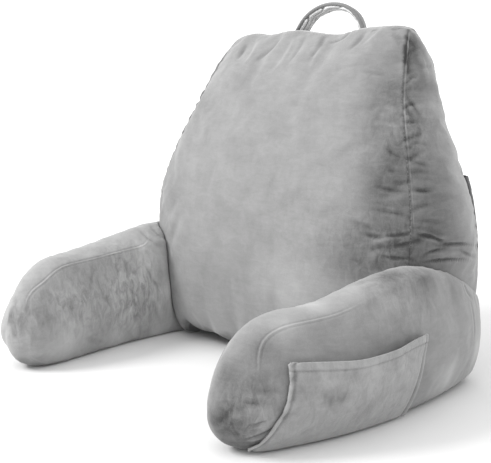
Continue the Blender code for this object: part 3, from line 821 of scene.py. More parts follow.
def split_near(bm, tree, band):
    """Halve the edges of the faces near a tree of places."""
    near = {vert for vert in bm.verts if tree.find(vert.co)[2] < band}
    edges = [edge for edge in bm.edges if near.issuperset(edge.verts)]
    bmesh.ops.subdivide_edges(bm, edges=edges, cuts=1, use_grid_fill=True)


def finer_faces(piece, seams, found):
    """Subdivide once, and split the faces near the creases and the seams again."""
    finer = piece.modifiers.new("finer", "SUBSURF")
    finer.levels = finer.render_levels = 1
    applied(piece)
    bm = bmesh.new()
    bm.from_mesh(piece.data)
    split_near(bm, tree_of([*seams, *(route.places for route in found)]), CREASE_BAND)
    split_near(bm, tree_of(seams), SEAM_BAND)
    bmesh.ops.triangulate(bm, faces=[face for face in bm.faces if len(face.verts) > 4])
    bm.to_mesh(piece.data)
    bm.free()


def hump(distance, half):
    """A smooth bump: 1 at no distance, and near 0 past twice its half width."""
    return np.exp(-(distance / half)**2)


def seam_strength(name, points):
    """How much of a seam shows at each point."""
    if name == "backrest":
        return np.ones(len(points))
    shows = ramp(points[:, 2], *ARM_SEAM_SHOWS) * (1 - ramp(points[:, 1], *SEAM_FADES[name]))
    return ARM_SEAM_HEIGHT * (ARM_SEAM_SHARE + (1 - ARM_SEAM_SHARE) * shows)


def seam_relief(name, piece):
    """A lip on each seam, with a groove on both sides in a shallow valley, and its strength."""
    points = points_of(piece.data)
    far = distances(tree_of(seam_lines[name], SEAM_STEP), points)
    strength = seam_strength(name, points)
    height = (LIP_HEIGHT * hump(far, LIP_HALF) - VALLEY_DEPTH * hump(far, VALLEY_HALF)
              - GROOVE_DEPTH * hump(far - GROOVE_AT, GROOVE_HALF))
    return height * strength, far, strength


def route_height(route, points):
    """How far a crease moves each point along the surface's direction."""
    height = np.zeros(len(points))
    reach = CREASE_REACH * route.half
    inside = (points > route.places.min(0) - reach) & (points < route.places.max(0) + reach)
    near = np.nonzero(inside.all(1))[0]
    if not len(near):
        return height
    apart = np.linalg.norm(points[near, None] - route.places[None], axis=2)
    nearest = apart.argmin(1)
    far = apart[np.arange(len(near)), nearest]
    fade = np.sin(math.pi * np.clip(route.shares[nearest], *CREASE_ENDS))**CREASE_FADE
    lips = 0
    if route.depth > 0:
        lips = CREASE_LIP * hump(far - CREASE_LIP_AT * route.half, route.half)
    middle = np.exp(-far / route.half) if route.half < SHARP_BELOW else hump(far, route.half)
    height[near] = -route.depth * fade * (middle - lips)
    return height


def on_surface(piece, found):
    """The routes again, put back on the piece's surface."""
    cloth = surface_of(piece.data)
    return [route._replace(places=np.array([cloth.find_nearest(place)[0] for place in route.places]))
            for route in found]


crease_height, seam_distance, seam_shows = {}, {}, {}
for name, piece in filled.items():
    finer_faces(piece, seam_lines[name], routes[name])
    relief, seam_distance[name], seam_shows[name] = seam_relief(name, piece)
    found = on_surface(piece, routes[name])
    points = points_of(piece.data)
    crease_height[name] = sum(route_height(route, points) for route in found)
    height = relief + crease_height[name]
    put_points(piece.data, points + normals_of(piece.data) * height[:, None])
    print(piece.name, len(piece.data.polygons), "faces")

# %% [markdown]
# ### The front hem
#
# The front panel's lower edge is drawn up off the floor between the arms, so a dark gap shows
# under it. The points near that edge are lifted, less and less towards the floor behind it.

# %% Lift the front hem
HEM_LIFT = 15 * MM
HEM_WAVE = 2.0 * MM
HEM_WAVE_LENGTH = 75 * MM
HEM_TALL = 75 * MM                   # the lift fades out over this height
HEM_DEEP = (30 * MM, 110 * MM)       # and between these distances behind the edge
HEM_HALF_WIDTH = 215 * MM
HEM_END = 25 * MM                    # length over which the lift fades out at each end
HEM_SECTIONS = 40

hem_line = seam_line(back_ends, [
    ((x, 0, 0.1), (1, 0, 0), (0, -1, -1))
    for x in np.linspace(-HEM_HALF_WIDTH, HEM_HALF_WIDTH, HEM_SECTIONS)])
points = points_of(backrest.data)
behind = points[:, 1] - np.interp(points[:, 0], hem_line[:, 0], hem_line[:, 1])
lift = HEM_LIFT + HEM_WAVE * np.sin(2 * math.pi * points[:, 0] / HEM_WAVE_LENGTH)
lift *= 1 - ramp(points[:, 2], 0, HEM_TALL)
lift *= 1 - ramp(behind, *HEM_DEEP)
lift *= 1 - ramp(abs(points[:, 0]), HEM_HALF_WIDTH - HEM_END, HEM_HALF_WIDTH)
points[:, 2] += lift
put_points(backrest.data, points)
print("hem lifted by up to", round(float(lift.max() / MM), 1), "mm")

# %% [markdown]
# ## Lay of the pile
#
# Each panel is cut with its pile one way, so whole panels differ in tone, and rubbing leaves
# darker places. Light and shade are painted in too: painted shade in hollows and where the crown
# turns away from the light, and painted light on highlights and on parts that lie in the shade of
# the backrest, the arms or the floor. All go into the vertex value that the plush material reads:
# 0 is the middle tone, a negative value is darker. A place is given by its pixel in the
# photograph, its radius in millimetres and its tone. Crushed places are given the same way, with
# how crushed the pile is.

# %% Tones of panels, rubbed places and painted light and shade
ToneSpot = namedtuple("ToneSpot", "x y radius tone")
PAINTED_SHADING_AND_RUBBED_PILE = {
    "backrest": (
        # front panel, low down beside the right arm: painted shade in the hollow there
        ToneSpot(352, 252, 42, -0.26),
        ToneSpot(396, 243, 26, -0.12),
        ToneSpot(386, 160, 40, -0.10),
        ToneSpot(388, 90, 24, -0.16),
        ToneSpot(374, 196, 24, -0.14),
        # front panel, middle and left: painted light low down, darker pile above
        ToneSpot(290, 288, 55, 0.24),
        ToneSpot(190, 312, 30, 0.18),
        ToneSpot(174, 185, 42, -0.11),
        ToneSpot(200, 108, 38, -0.13),
        ToneSpot(245, 78, 36, -0.07),
        # side strip: painted light towards its rear, painted shade at its top and above the arm
        ToneSpot(409, 52, 22, -0.20),
        ToneSpot(430, 105, 22, 0.26),
        ToneSpot(434, 140, 24, 0.14),
        ToneSpot(432, 168, 20, 0.08),
        ToneSpot(456, 160, 22, 0.12),
        ToneSpot(440, 242, 26, -0.12),
        ToneSpot(464, 250, 26, -0.18),
    ),
    "right": (
        # nose: darker, most of all low on its inner side
        ToneSpot(224, 424, 30, -0.40),
        ToneSpot(236, 400, 24, -0.18),
        ToneSpot(262, 386, 20, -0.16),
        ToneSpot(262, 352, 24, -0.16),
        ToneSpot(227, 372, 20, -0.18),
        # top: painted highlight at the front, painted shade in the crush near the backrest
        ToneSpot(285, 324, 20, 0.26),
        ToneSpot(314, 305, 24, 0.32),
        ToneSpot(350, 293, 20, 0.16),
        ToneSpot(386, 303, 14, 0.10),
        ToneSpot(388, 277, 20, -0.32),
        ToneSpot(424, 280, 26, -0.30),
        ToneSpot(456, 290, 24, -0.14),
        # outer side, rear and low: painted light on a part that lies in shade
        ToneSpot(448, 376, 28, 0.32),
        ToneSpot(477, 350, 22, 0.34),
    ),
    "left": (
        # inner side: painted light where the backrest and the floor shade it, darker near the tip
        ToneSpot(10, 318, 14, -0.28),
        ToneSpot(32, 322, 36, -0.20),
        ToneSpot(146, 258, 34, 0.44),
        ToneSpot(166, 292, 32, 0.52),
        ToneSpot(126, 296, 40, 0.18),
        ToneSpot(70, 346, 40, 0.34),
        ToneSpot(118, 338, 34, 0.34),
        ToneSpot(158, 326, 28, 0.34),
    ),
}
# The left arm is painted lighter, partly its pile lay and partly painted light on its shaded inner
# side.
PANEL_TONES = {"backrest": 0.0, "right": 0.0, "left": 0.16}
UNDERSIDE_PAINTED_SHADE = -0.5                # painted shade on faces turned down, for the dark of the gap under the hem
CRUSHED = {
    "backrest": (ToneSpot(380, 248, 60, 0.22), ToneSpot(404, 130, 55, 0.18), ToneSpot(300, 240, 70, 0.06)),
    "right": (ToneSpot(250, 415, 45, 0.32), ToneSpot(400, 285, 70, 0.20)),
    "left": (ToneSpot(135, 295, 70, 0.90), ToneSpot(75, 305, 50, 0.55), ToneSpot(15, 320, 40, 0.30)),
}
CRUSH_EVERYWHERE = 0.04
# A side strip is darker towards its front seam, partly its pile lay and partly painted shade.
STRIP_TONES = (-0.31, 0.08)          # of a side strip, at its front seam and at its rear seam
STRIP_CHANGE = (0.12, 0.85)          # the shares of its width between which it changes
STRIP_EDGE = 2 * MM                  # width over which it starts at each seam
STRIP_FROM = 0.12                    # the strips lie farther than this from the middle
# The front panel is painted darker towards its right seam, where its crown turns away from
# the light. tone is how dark that painted shade is at each height.
SeamShadeLevel = namedtuple("SeamShadeLevel", "height tone")
RIGHT_SEAM_PAINTED_SHADE = (
    SeamShadeLevel(0.00, -0.10),
    SeamShadeLevel(0.12, -0.20),
    SeamShadeLevel(0.20, -0.36),
    SeamShadeLevel(0.28, -0.38),
    SeamShadeLevel(0.36, -0.26),
    SeamShadeLevel(0.44, -0.18),
    SeamShadeLevel(0.53, -0.06),
)
SEAM_SHADE_ACROSS = (-5 * MM, 110 * MM)  # distances from the seam between which it fades out
FRONT_EDGE = 1 * MM                  # the front panel ends this far behind its seam
FACING_DOWN = (0.4, 0.9)             # how far a normal drops where the underside's painted shade starts
CREASE_PAINTED_SHADE = 0.075                  # for each millimetre of a crease's height: painted shade in troughs, painted light on ridges
MOST_TRIANGLES = 188_000             # of one filled piece
# Seam lips get a painted highlight and the grooves beside them painted shade.
LIP_PAINTED_HIGHLIGHT = {"backrest": 0.65, "right": 0.20, "left": 0.08}
LIP_HIGHLIGHT_HALF = 2.0 * MM             # the painted highlight reaches a little past the lip
GROOVE_PAINTED_SHADE = -0.08


def strip_tone(points):
    """Tone of the backrest's side strips, 0 on its front and rear panels."""
    tone = np.zeros(len(points))
    for side, out in (("right", 1), ("left", -1)):
        front, rear = back_seams[f"front_{side}"], back_seams[f"rear_{side}"]
        start = np.interp(points[:, 2], front[:, 2], front[:, 1])
        end = np.interp(points[:, 2], rear[:, 2], rear[:, 1])
        here = ramp(points[:, 1], start, start + STRIP_EDGE)
        here *= 1 - ramp(points[:, 1], end - STRIP_EDGE, end)
        here *= points[:, 0] * out > STRIP_FROM
        change = ramp((points[:, 1] - start) / np.maximum(end - start, MM), *STRIP_CHANGE)
        tone += here * (STRIP_TONES[0] + (STRIP_TONES[1] - STRIP_TONES[0]) * change)
    return tone


def right_seam_painted_shade(points):
    """Painted shade of the front panel near its right seam."""
    seam = back_seams["front_right"]
    across = np.interp(points[:, 2], seam[:, 2], seam[:, 0]) - points[:, 0]
    depth = points[:, 1] - np.interp(points[:, 2], seam[:, 2], seam[:, 1])
    dark = np.interp(points[:, 2], [row.height for row in RIGHT_SEAM_PAINTED_SHADE], [row.tone for row in RIGHT_SEAM_PAINTED_SHADE])
    return dark * (1 - ramp(across, *SEAM_SHADE_ACROSS)) * (depth < FRONT_EDGE)


def at_spots(piece, spots):
    """Total of the spots' tones at each point of a piece, each spot found through its pixel."""
    cloth = surface_of(piece.data)
    points = points_of(piece.data)
    total = np.zeros(len(points))
    for spot in spots:
        place = photo_place(cloth, spot.x, spot.y)
        if place is not None:
            total += spot.tone * hump(np.linalg.norm(points - place, axis=1), spot.radius * MM)
    return total


def set_value(piece, name, values):
    """Write a value of each point for the plush material."""
    value = piece.data.attributes.new(name, "FLOAT", "POINT")
    value.data.foreach_set("value", values.astype(np.float32))


def lay_and_painted_light_of(name):
    """Tone of a filled piece: lay of pile, and painted light and shade of spots, creases and seams.
    """
    lip = LIP_PAINTED_HIGHLIGHT[name] * hump(seam_distance[name], LIP_HIGHLIGHT_HALF)
    groove = GROOVE_PAINTED_SHADE * hump(seam_distance[name] - GROOVE_AT, GROOVE_HALF)
    facing_down = ramp(-normals_of(filled[name].data)[:, 2], *FACING_DOWN)
    return (PANEL_TONES[name] + at_spots(filled[name], PAINTED_SHADING_AND_RUBBED_PILE[name]) + UNDERSIDE_PAINTED_SHADE * facing_down
            + crease_height[name] / MM * CREASE_PAINTED_SHADE + (lip + groove) * seam_shows[name])


def thinned(piece):
    """Join faces where the cloth is plain, so that the piece is light enough to reuse."""
    triangles = sum(len(face.vertices) - 2 for face in piece.data.polygons)
    if triangles > MOST_TRIANGLES:
        fewer = piece.modifiers.new("fewer", "DECIMATE")
        fewer.ratio = MOST_TRIANGLES / triangles
        applied(piece)
    print(piece.name, triangles, "triangles, kept", len(piece.data.polygons), "faces")


for name, node in (("backrest", "backrest"), ("right", "arm_right"), ("left", "arm_left")):
    piece = filled[name]
    tone = lay_and_painted_light_of(name)
    # The side strips' lay and painted shade, and the painted shade beside the front right seam.
    if name == "backrest":
        tone += strip_tone(points_of(piece.data)) + right_seam_painted_shade(points_of(piece.data))
    set_value(piece, "lay_and_painted_light", tone)
    set_value(piece, "crush", CRUSH_EVERYWHERE + at_spots(piece, CRUSHED[name]))
    thinned(piece)
    piece.data.materials.clear()
    piece.data.materials.append(plush)
    piece.data.shade_smooth()
    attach(piece, BODY)
    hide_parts(node)

# %% [markdown]
# ## Pockets
#
# A patch pocket is a flat piece of cloth with a turned hem at its mouth, sewn down on three sides.
# Its outline and the way it hangs open come from the solid: rays from outside meet it at a grid of
# places, and the sheet is built on that grid with a show side, a back and a rolled mouth.

# %% Pocket sheets
SHEET = 2.0 * MM                     # thickness of the pockets' cloth
HEM_DEPTH, HEM_EXTRA = 11 * MM, 1.0 * MM
HEM_GROOVE, HEM_GROOVE_HALF = 0.6 * MM, 1.3 * MM
EDGE_LIP, EDGE_LIP_HALF = 1.7 * MM, 2.0 * MM
EDGE_GROOVE_AT, EDGE_GROOVE = 3.4, 0.8  # in half widths of the lip, and as a share of its height
HEM_FULL = 0.8                       # the share of its depth over which a hem is at full height
OUTLINE_SECTIONS = 240
RIM_INSET = 0.5 * MM                 # keeps the grid's rim on the solid
SOFT_ROUNDS = 12
ROLL = 0.4                           # how far a rim bulges, as a share of the sheet's thickness


def outline_loop(node, across):
    """The solid's outline seen along the direction it faces, as points round its middle."""
    ends = edge_ends(node)
    low, high = (np.array(corner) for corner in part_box(node))
    along, up = np.eye(3)[across], np.eye(3)[2]
    half = (high - low) / 2
    planes = []
    for angle in np.linspace(0, 2 * math.pi, OUTLINE_SECTIONS, endpoint=False):
        outward = along * math.cos(angle) * half[across] + up * math.sin(angle) * half[2]
        outward /= np.linalg.norm(outward)
        normal = along * outward[2] - up * outward[across]
        planes.append(((low + high) / 2, normal, outward))
    return seam_line(ends, planes, 0)[:, (across, 2)]


def even_steps(line, count):
    """The line again, as a number of rows whose places, the first three columns, are evenly apart."""
    steps = np.linalg.norm(np.diff(line[:, :3], axis=0), axis=1)
    length = np.concatenate(([0], np.cumsum(steps)))
    at = np.linspace(0, length[-1], count)
    return np.stack([np.interp(at, length, line[:, k]) for k in range(line.shape[1])], axis=1)


def pocket_grid(node, across, out, columns, rows):
    """Places on the solid's show side, a grid from its start to its end and its bottom to its mouth.

    across is the axis that the pocket is wide along, and out the direction that it faces. The four
    edges are parts of the outline between its corners, and the inside is blended from them.
    """
    loop = outline_loop(node, across)
    middle = (loop.min(0) + loop.max(0)) / 2
    half = (loop.max(0) - loop.min(0)) / 2
    loop = middle + (loop - middle) * (1 - RIM_INSET / half)

    def corner(side, level):
        return int(np.argmax((loop - middle) / half @ np.array((side, level))))

    def edge(first, last):
        count = (last - first) % len(loop) + 1
        return loop[(first + np.arange(count)) % len(loop)]

    low_start, low_end, high_end, high_start = (
        corner(side, level) for side, level in ((-1, -1), (1, -1), (1, 1), (-1, 1)))
    bottom = even_steps(edge(low_start, low_end), columns)[:, None]
    mouth = even_steps(edge(high_end, high_start)[::-1], columns)[:, None]
    end = even_steps(edge(low_end, high_end), rows)[None]
    start = even_steps(edge(high_start, low_start)[::-1], rows)[None]
    u = np.linspace(0, 1, columns)[:, None, None]
    v = np.linspace(0, 1, rows)[None, :, None]
    flat = (bottom * (1 - v) + mouth * v + start * (1 - u) + end * u
            - (bottom[:1] * (1 - u) * (1 - v) + bottom[-1:] * u * (1 - v)
               + mouth[:1] * (1 - u) * v + mouth[-1:] * u * v))
    solid = solid_surface[node]
    outward = Vector(out)
    grid = np.zeros((columns, rows, 3))
    grid[..., across], grid[..., 2] = flat[..., 0], flat[..., 1]
    for i in range(columns):
        for j in range(rows):
            from_outside = Vector(grid[i, j]) + outward
            hit = solid.ray_cast(from_outside, -outward)[0]
            grid[i, j] = hit or solid.find_nearest(from_outside)[0]
    return grid


def grid_normals(grid, out):
    """Directions out of a grid's show side."""
    normal = np.cross(np.gradient(grid, axis=0), np.gradient(grid, axis=1))
    normal /= np.linalg.norm(normal, axis=2)[..., None]
    return normal * np.sign((normal * np.array(out)).sum(2))[..., None]


def soft_grid(grid):
    """Average out the solid's facets, the rim kept in place."""
    for _ in range(SOFT_ROUNDS):
        grid[1:-1, 1:-1] = (grid[:-2, 1:-1] + grid[2:, 1:-1] + grid[1:-1, :-2] + grid[1:-1, 2:]) / 4
    return grid


def closed_piece(name, bm):
    """The bmesh as a smooth piece, with its faces turned outwards."""
    bmesh.ops.recalc_face_normals(bm, faces=bm.faces)
    mesh = mesh_of(name, bm)
    mesh.shade_smooth()
    return new_object(name, mesh)


def sheet_mesh(name, show, out, thickness):
    """A closed thin sheet from its show side, with a rolled edge."""
    normal = grid_normals(show, out)
    columns, rows = show.shape[:2]
    back = show - normal * thickness
    bm = bmesh.new()
    front_side = [[bm.verts.new(p) for p in row] for row in show]
    back_side = [[bm.verts.new(p) for p in row] for row in back]
    for i in range(columns - 1):
        for j in range(rows - 1):
            bm.faces.new((front_side[i][j], front_side[i + 1][j],
                          front_side[i + 1][j + 1], front_side[i][j + 1]))
            bm.faces.new((back_side[i][j], back_side[i][j + 1],
                          back_side[i + 1][j + 1], back_side[i + 1][j]))
    rim = [(i, 0) for i in range(columns)] + [(columns - 1, j) for j in range(1, rows)]
    rim += [(i, rows - 1) for i in range(columns - 2, -1, -1)]
    rim += [(0, j) for j in range(rows - 2, 0, -1)]
    edge = {}
    for i, j in rim:
        halfway = (show[i, j] + back[i, j]) / 2
        inward = show[min(max(i, 1), columns - 2), min(max(j, 1), rows - 2)] - show[i, j]
        edge[i, j] = bm.verts.new(halfway - inward / np.linalg.norm(inward) * thickness * ROLL)
    for a, b in zip(rim, rim[1:] + rim[:1]):
        (i, j), (k, m) = a, b
        bm.faces.new((front_side[i][j], edge[a], edge[b], front_side[k][m]))
        bm.faces.new((edge[a], back_side[i][j], back_side[k][m], edge[b]))
    return closed_piece(name, bm)


def lengths_along(grid, axis):
    """Distance along each row or column of a grid from its start."""
    steps = np.linalg.norm(np.diff(grid, axis=axis), axis=2)
    first = np.zeros_like(steps[:1] if axis == 0 else steps[:, :1])
    return np.cumsum(np.concatenate((first, steps), axis=axis), axis=axis)


# %% Arm pockets
POCKET_COLUMNS, POCKET_ROWS = 190, 100
POCKET_CREASES = (
    Crease(287, 384, 298, 372, 1, 3, 1.4),
    Crease(291, 396, 304, 388, 1, 3, 0.9),
    Crease(284, 404, 296, 398, 1, 3, 1.0),
    Crease(280, 420, 300, 412, -1, 4, 1.2),
    Crease(296, 438, 318, 426, -1, 4, 0.9),
    Crease(322, 392, 334, 404, 1, 6, 0.9),
    Crease(330, 398, 336, 416, 1, 4, 0.9),
    Crease(352, 372, 366, 384, 1, 7, 0.8),
    Crease(394, 362, 404, 385, 1, 5, 1.0),
    Crease(402, 350, 416, 362, 1, 3, 0.9),
)
POCKET_TONE = 0.11
POCKET_CRUSH = 0.2
POCKET_RUBBED = (
    ToneSpot(340, 397, 15, -0.22),
    ToneSpot(300, 398, 16, -0.06),
    ToneSpot(362, 412, 16, -0.08),
    ToneSpot(380, 372, 22, 0.05),
)
# The pocket's edge lips get a painted highlight, and its edge grooves and hem groove painted shade.
EDGE_PAINTED_HIGHLIGHT, EDGE_GROOVE_PAINTED_SHADE, HEM_GROOVE_PAINTED_SHADE = 0.12, -0.20, -0.16


def arm_pocket(side):
    """One arm's pocket, with a groove where its hem is stitched."""
    out = (1 if side == "right" else -1, 0, 0)
    grid = soft_grid(pocket_grid(f"pocket_{side}", 1, out, POCKET_COLUMNS, POCKET_ROWS))
    normal = grid_normals(grid, out)
    from_start, from_bottom = lengths_along(grid, 0), lengths_along(grid, 1)
    to_mouth = from_bottom[:, -1:] - from_bottom
    to_end = from_start[-1:] - from_start
    stitched = hump(to_mouth - HEM_DEPTH, HEM_GROOVE_HALF)
    height = HEM_EXTRA * (1 - ramp(to_mouth, HEM_DEPTH * HEM_FULL, HEM_DEPTH))
    height -= HEM_GROOVE * stitched
    # Painted shade in the stitched hem groove and the edge grooves, and a painted highlight on the
    # edge lips.
    painted_seam_light = HEM_GROOVE_PAINTED_SHADE * stitched
    for rim in (from_start, to_end):
        lip = hump(rim - EDGE_LIP_HALF, EDGE_LIP_HALF)
        groove = hump(rim - EDGE_GROOVE_AT * EDGE_LIP_HALF, EDGE_LIP_HALF)
        height += EDGE_LIP * (lip - EDGE_GROOVE * groove)
        painted_seam_light += EDGE_PAINTED_HIGHLIGHT * lip + EDGE_GROOVE_PAINTED_SHADE * groove
    grid += normal * height[..., None]
    piece = sheet_mesh(f"pocket_{side}_cloth", grid, out, SHEET)
    tone = np.full(len(piece.data.vertices), POCKET_TONE)
    tone[:painted_seam_light.size] += painted_seam_light.ravel()
    if side == "right":
        points = points_of(piece.data)
        heights = sum(route_height(route, points) for route in crease_routes(piece, POCKET_CREASES))
        put_points(piece.data, points + normals_of(piece.data) * heights[:, None])
        # Painted shade in the pocket's creases and painted light on their ridges, and rubbed places.
        tone += heights / MM * CREASE_PAINTED_SHADE + at_spots(piece, POCKET_RUBBED)
    set_value(piece, "lay_and_painted_light", tone)
    set_value(piece, "crush", np.full(len(tone), POCKET_CRUSH))
    piece.data.materials.append(plush)
    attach(piece, BODY)
    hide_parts(f"pocket_{side}")


for side in ("right", "left"):
    arm_pocket(side)

# %% [markdown]
# ### The back pocket
#
# Its sides are caught in the rear seams, so the sheet reaches a little beyond its solid, and it
# stands off the panel towards its mouth. That makes the dark edge that shows past the side strip.
# Each place keeps its distance from the rear panel as it moves outwards, and the two sides turn
# down to the panel.

# %% Back pocket
BACK_COLUMNS, BACK_ROWS = 190, 90
BACK_WIDER = 1.10                    # how much wider the sheet is than its solid
SIDE_STANDS_OFF = 4 * MM             # at the mouth, near the sides
SIDE_BAND = 50 * MM
SIDE_TURNS = 6 * MM                  # width over which each side turns down to the panel
SEWN_GAP = 0.8 * MM
BACK_HEM = (20 * MM, 22 * MM)        # distances from the mouth between which the hem ends
PANEL_ROUNDS = 4
dressed_backrest = surface_of(backrest.data)


def panel_reach(place):
    """How far back the rear panel reaches at a place, with or without its folds."""
    from_behind = Vector((place[0], 1, place[2]))
    hits = [tree.ray_cast(from_behind, Vector((0, -1, 0)))[0]
            for tree in (solid_surface["backrest"], dressed_backrest)]
    reaches = [hit.y for hit in hits if hit is not None]
    return max(reaches) if reaches else solid_surface["backrest"].find_nearest(from_behind)[0].y


def widened(grid):
    """The back pocket's grid, widened to the rear seams."""
    middle = grid[..., 0].mean(0)
    wide = grid.copy()
    wide[..., 0] = middle + (grid[..., 0] - middle) * BACK_WIDER
    panel = np.zeros(grid.shape[:2])
    gap = np.zeros(grid.shape[:2])
    for at in np.ndindex(panel.shape):
        gap[at] = grid[at][1] - panel_reach(grid[at])
        panel[at] = panel_reach(wide[at])
    for _ in range(PANEL_ROUNDS):
        evened(panel, 1)
        evened(panel.T, 1)
    to_side = np.minimum(wide[..., 0] - wide[:1, :, 0], wide[-1:, :, 0] - wide[..., 0])
    up = np.linspace(0, 1, BACK_ROWS)
    gap = np.maximum(gap, SHEET) + SIDE_STANDS_OFF * up * hump(to_side, SIDE_BAND)
    wide[..., 1] = panel + SEWN_GAP + gap * ramp(to_side, -MM, SIDE_TURNS)
    return wide


def back_pocket():
    """The dark pocket on the rear panel."""
    out = (0, 1, 0)
    grid = widened(soft_grid(pocket_grid("back_pocket", 0, out, BACK_COLUMNS, BACK_ROWS)))
    from_start, from_bottom = lengths_along(grid, 0), lengths_along(grid, 1)
    to_mouth = from_bottom[:, -1:] - from_bottom
    height = HEM_EXTRA * (1 - ramp(to_mouth, *BACK_HEM))
    grid += grid_normals(grid, out) * height[..., None]
    piece = sheet_mesh("back_pocket_cloth", grid, out, SHEET)
    piece.data.materials.append(dark_weave)
    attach(piece, BODY)
    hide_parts("back_pocket")


back_pocket()

# %% [markdown]
# ## The carry handle
#
# The handle is a strap of two layers: a smooth grey tape outside, which takes the load, and a
# padded pale lining inside, sewn to it a little long, so it ruffles in slanting wrinkles. Sections
# of the solid, cut by planes through the middle of the arch, give the strap's centre line, its
# width direction and its thickness direction. Both layers are swept along them.

# %% Sections of the strap
HANDLE_ANGLES = np.radians(np.linspace(18, 162, 73))  # of the sections, from one end to the other
HANDLE_COLUMNS = 200
HANDLE_ROUNDS = 6                    # of evening out the sections
HANDLE_ROOT = 16 * MM                # length at each end that is hidden in the crest seam
Strap = namedtuple("Strap", "centre wide thick half_width half_thickness")


def strap_sections():
    """Cut the solid by planes through the arch's middle, and space the sections evenly."""
    ends = edge_ends("carry_handle")
    low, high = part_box("carry_handle")
    middle = np.array(((low.x + high.x) / 2, (low.y + high.y) / 2, low.z))
    rows, halves = [], []
    for angle in HANDLE_ANGLES:
        ahead = np.array((-math.cos(angle), 0, math.sin(angle)))
        places = section(ends, middle, (math.sin(angle), 0, math.cos(angle)))
        places = places[(places - middle) @ ahead > 0]
        mean = places.mean(0)
        wide, thick = np.linalg.svd(places - mean, full_matrices=False)[2][:2]
        wide = wide * np.sign(wide[1])
        thick = thick * np.sign(thick @ ahead)
        spans = [(places - mean) @ direction for direction in (wide, thick)]
        mean = mean + sum(direction * (span.max() + span.min()) / 2
                          for direction, span in zip((wide, thick), spans))
        rows.append(np.concatenate((mean, wide, thick)))
        halves.append([np.ptp(span) / 2 for span in spans])
    rows = evened(np.array(rows), HANDLE_ROUNDS)
    first, last = rows[0].copy(), rows[-1].copy()
    for row, inner in ((first, rows[2]), (last, rows[-3])):
        step = row[:3] - inner[:3]
        row[:3] += step / np.linalg.norm(step) * HANDLE_ROOT
    even = even_steps(np.vstack((first, rows, last)), HANDLE_COLUMNS)
    for k in (3, 6):
        even[:, k:k + 3] /= np.linalg.norm(even[:, k:k + 3], axis=1)[:, None]
    half_width, half_thickness = np.median(halves, axis=0)
    return Strap(even[:, :3], even[:, 3:6], even[:, 6:], float(half_width), float(half_thickness))


strap = strap_sections()
strap_length = float(np.linalg.norm(np.diff(strap.centre, axis=0), axis=1).sum())
print("strap", round(strap_length, 3), "m long,", round(strap.half_width * 2 / MM, 1), "by",
      round(strap.half_thickness * 2 / MM, 1), "mm")

# %% The ruffled lining
pale_plush = plush_material("pale_plush_lining", "#E8E8E8", "#505050")
TAPE_THICK = 5.5 * MM
TAPE_OVERLAPS = 2.4 * MM             # the tape is this much wider than the lining at each edge
RUFFLE = 0.7 * MM                    # height of the lining's wrinkles
RUFFLE_LENGTHS = (34 * MM, 19 * MM)  # from one wrinkle to the next, for two sets of them
RUFFLE_SLANTS = (8 * MM, 5 * MM)     # how far across each set moves on by one wrinkle
RUFFLE_SHARES = (0.6, 0.4)
DRIFT, DRIFT_LENGTH = 6 * MM, 37 * MM  # shifts the wrinkles to and fro, so they aren't even
LINING_OVERLAP = 0.3 * MM            # how far the lining reaches into the tape
FLATTER_SIDES, FLATTER_FACES = 0.6, 0.7  # powers that turn a circle into a flattened ring
WRINKLED_BELOW = 0.6                 # share of the lining's half thickness, under the tape
LINING_TONE, WRINKLE_PAINTED_LIGHT, LINING_CRUSH = 0.05, 0.3, 0.12
RING = 64                            # points around the lining


def ruffles(along, across):
    """Two sets of slanting wrinkles, between -1 and 1."""
    uneven = along + DRIFT * np.sin(along * 2 * math.pi / DRIFT_LENGTH)
    return sum(share * np.sin(2 * math.pi * (uneven / length + across / slant))
               for length, slant, share in zip(RUFFLE_LENGTHS, RUFFLE_SLANTS, RUFFLE_SHARES))


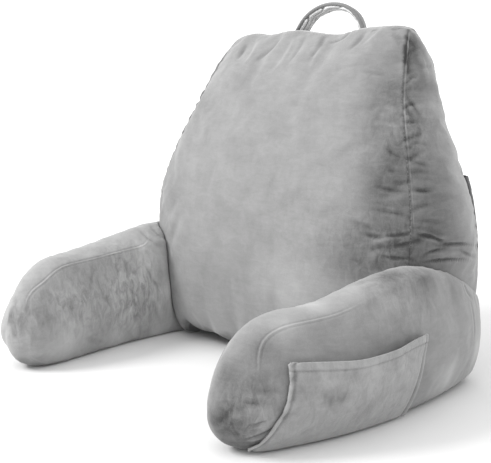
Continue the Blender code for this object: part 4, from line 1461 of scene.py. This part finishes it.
def handle_lining():
    """A flattened tube along the strap, wrinkled on its sides and inside."""
    half_thick = strap.half_thickness - TAPE_THICK / 2 + LINING_OVERLAP
    half_wide = strap.half_width - TAPE_OVERLAPS
    centre = strap.centre - strap.thick * (strap.half_thickness - half_thick)
    around = np.linspace(0, 2 * math.pi, RING, endpoint=False)
    across = half_wide * np.sign(np.cos(around)) * abs(np.cos(around))**FLATTER_SIDES
    through = half_thick * np.sign(np.sin(around)) * abs(np.sin(around))**FLATTER_FACES
    along = np.linspace(0, strap_length, HANDLE_COLUMNS)[:, None]
    wrinkle = ruffles(along, across[None]) * (through < half_thick * WRINKLED_BELOW)
    grow = 1 + RUFFLE * wrinkle / np.hypot(across, through)[None]
    ring = (centre[:, None] + strap.wide[:, None] * (across[None] * grow)[..., None]
            + strap.thick[:, None] * (through[None] + RUFFLE * wrinkle * np.sign(through))[..., None])
    bm = bmesh.new()
    rings = [[bm.verts.new(place) for place in row] for row in ring]
    for row, after in zip(rings, rings[1:]):
        for k in range(RING):
            bm.faces.new((row[k], after[k], after[(k + 1) % RING], row[(k + 1) % RING]))
    bm.faces.new(rings[0])
    bm.faces.new(rings[-1][::-1])
    piece = closed_piece("handle_lining", bm)
    # The lining's wrinkle crests are painted paler and their troughs darker: painted light and shade.
    set_value(piece, "lay_and_painted_light", (LINING_TONE + WRINKLE_PAINTED_LIGHT * wrinkle).ravel())
    set_value(piece, "crush", np.full(wrinkle.size, LINING_CRUSH))
    piece.data.materials.append(pale_plush)
    return piece


lining = handle_lining()
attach(lining, BODY)
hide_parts("carry_handle")
print("handle lining", len(lining.data.polygons), "faces")

# %% The tape
TAPE_ROWS = 16
TAPE_CROWN = 0.9 * MM                # how much its edges roll over

across = np.linspace(-1, 1, TAPE_ROWS)[:, None]
tape_grid = (strap.centre[:, None] + strap.wide[:, None] * (across * strap.half_width)
             + strap.thick[:, None] * (strap.half_thickness - TAPE_CROWN * across**4))
tape_piece = sheet_mesh("handle_tape", tape_grid, strap.thick[:, None], TAPE_THICK)
tape_piece.data.materials.append(tape)
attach(tape_piece, BODY)
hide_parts("carry_handle")
print("handle tape", round(strap_length, 3), "by", round(2 * strap.half_width, 3), "m")
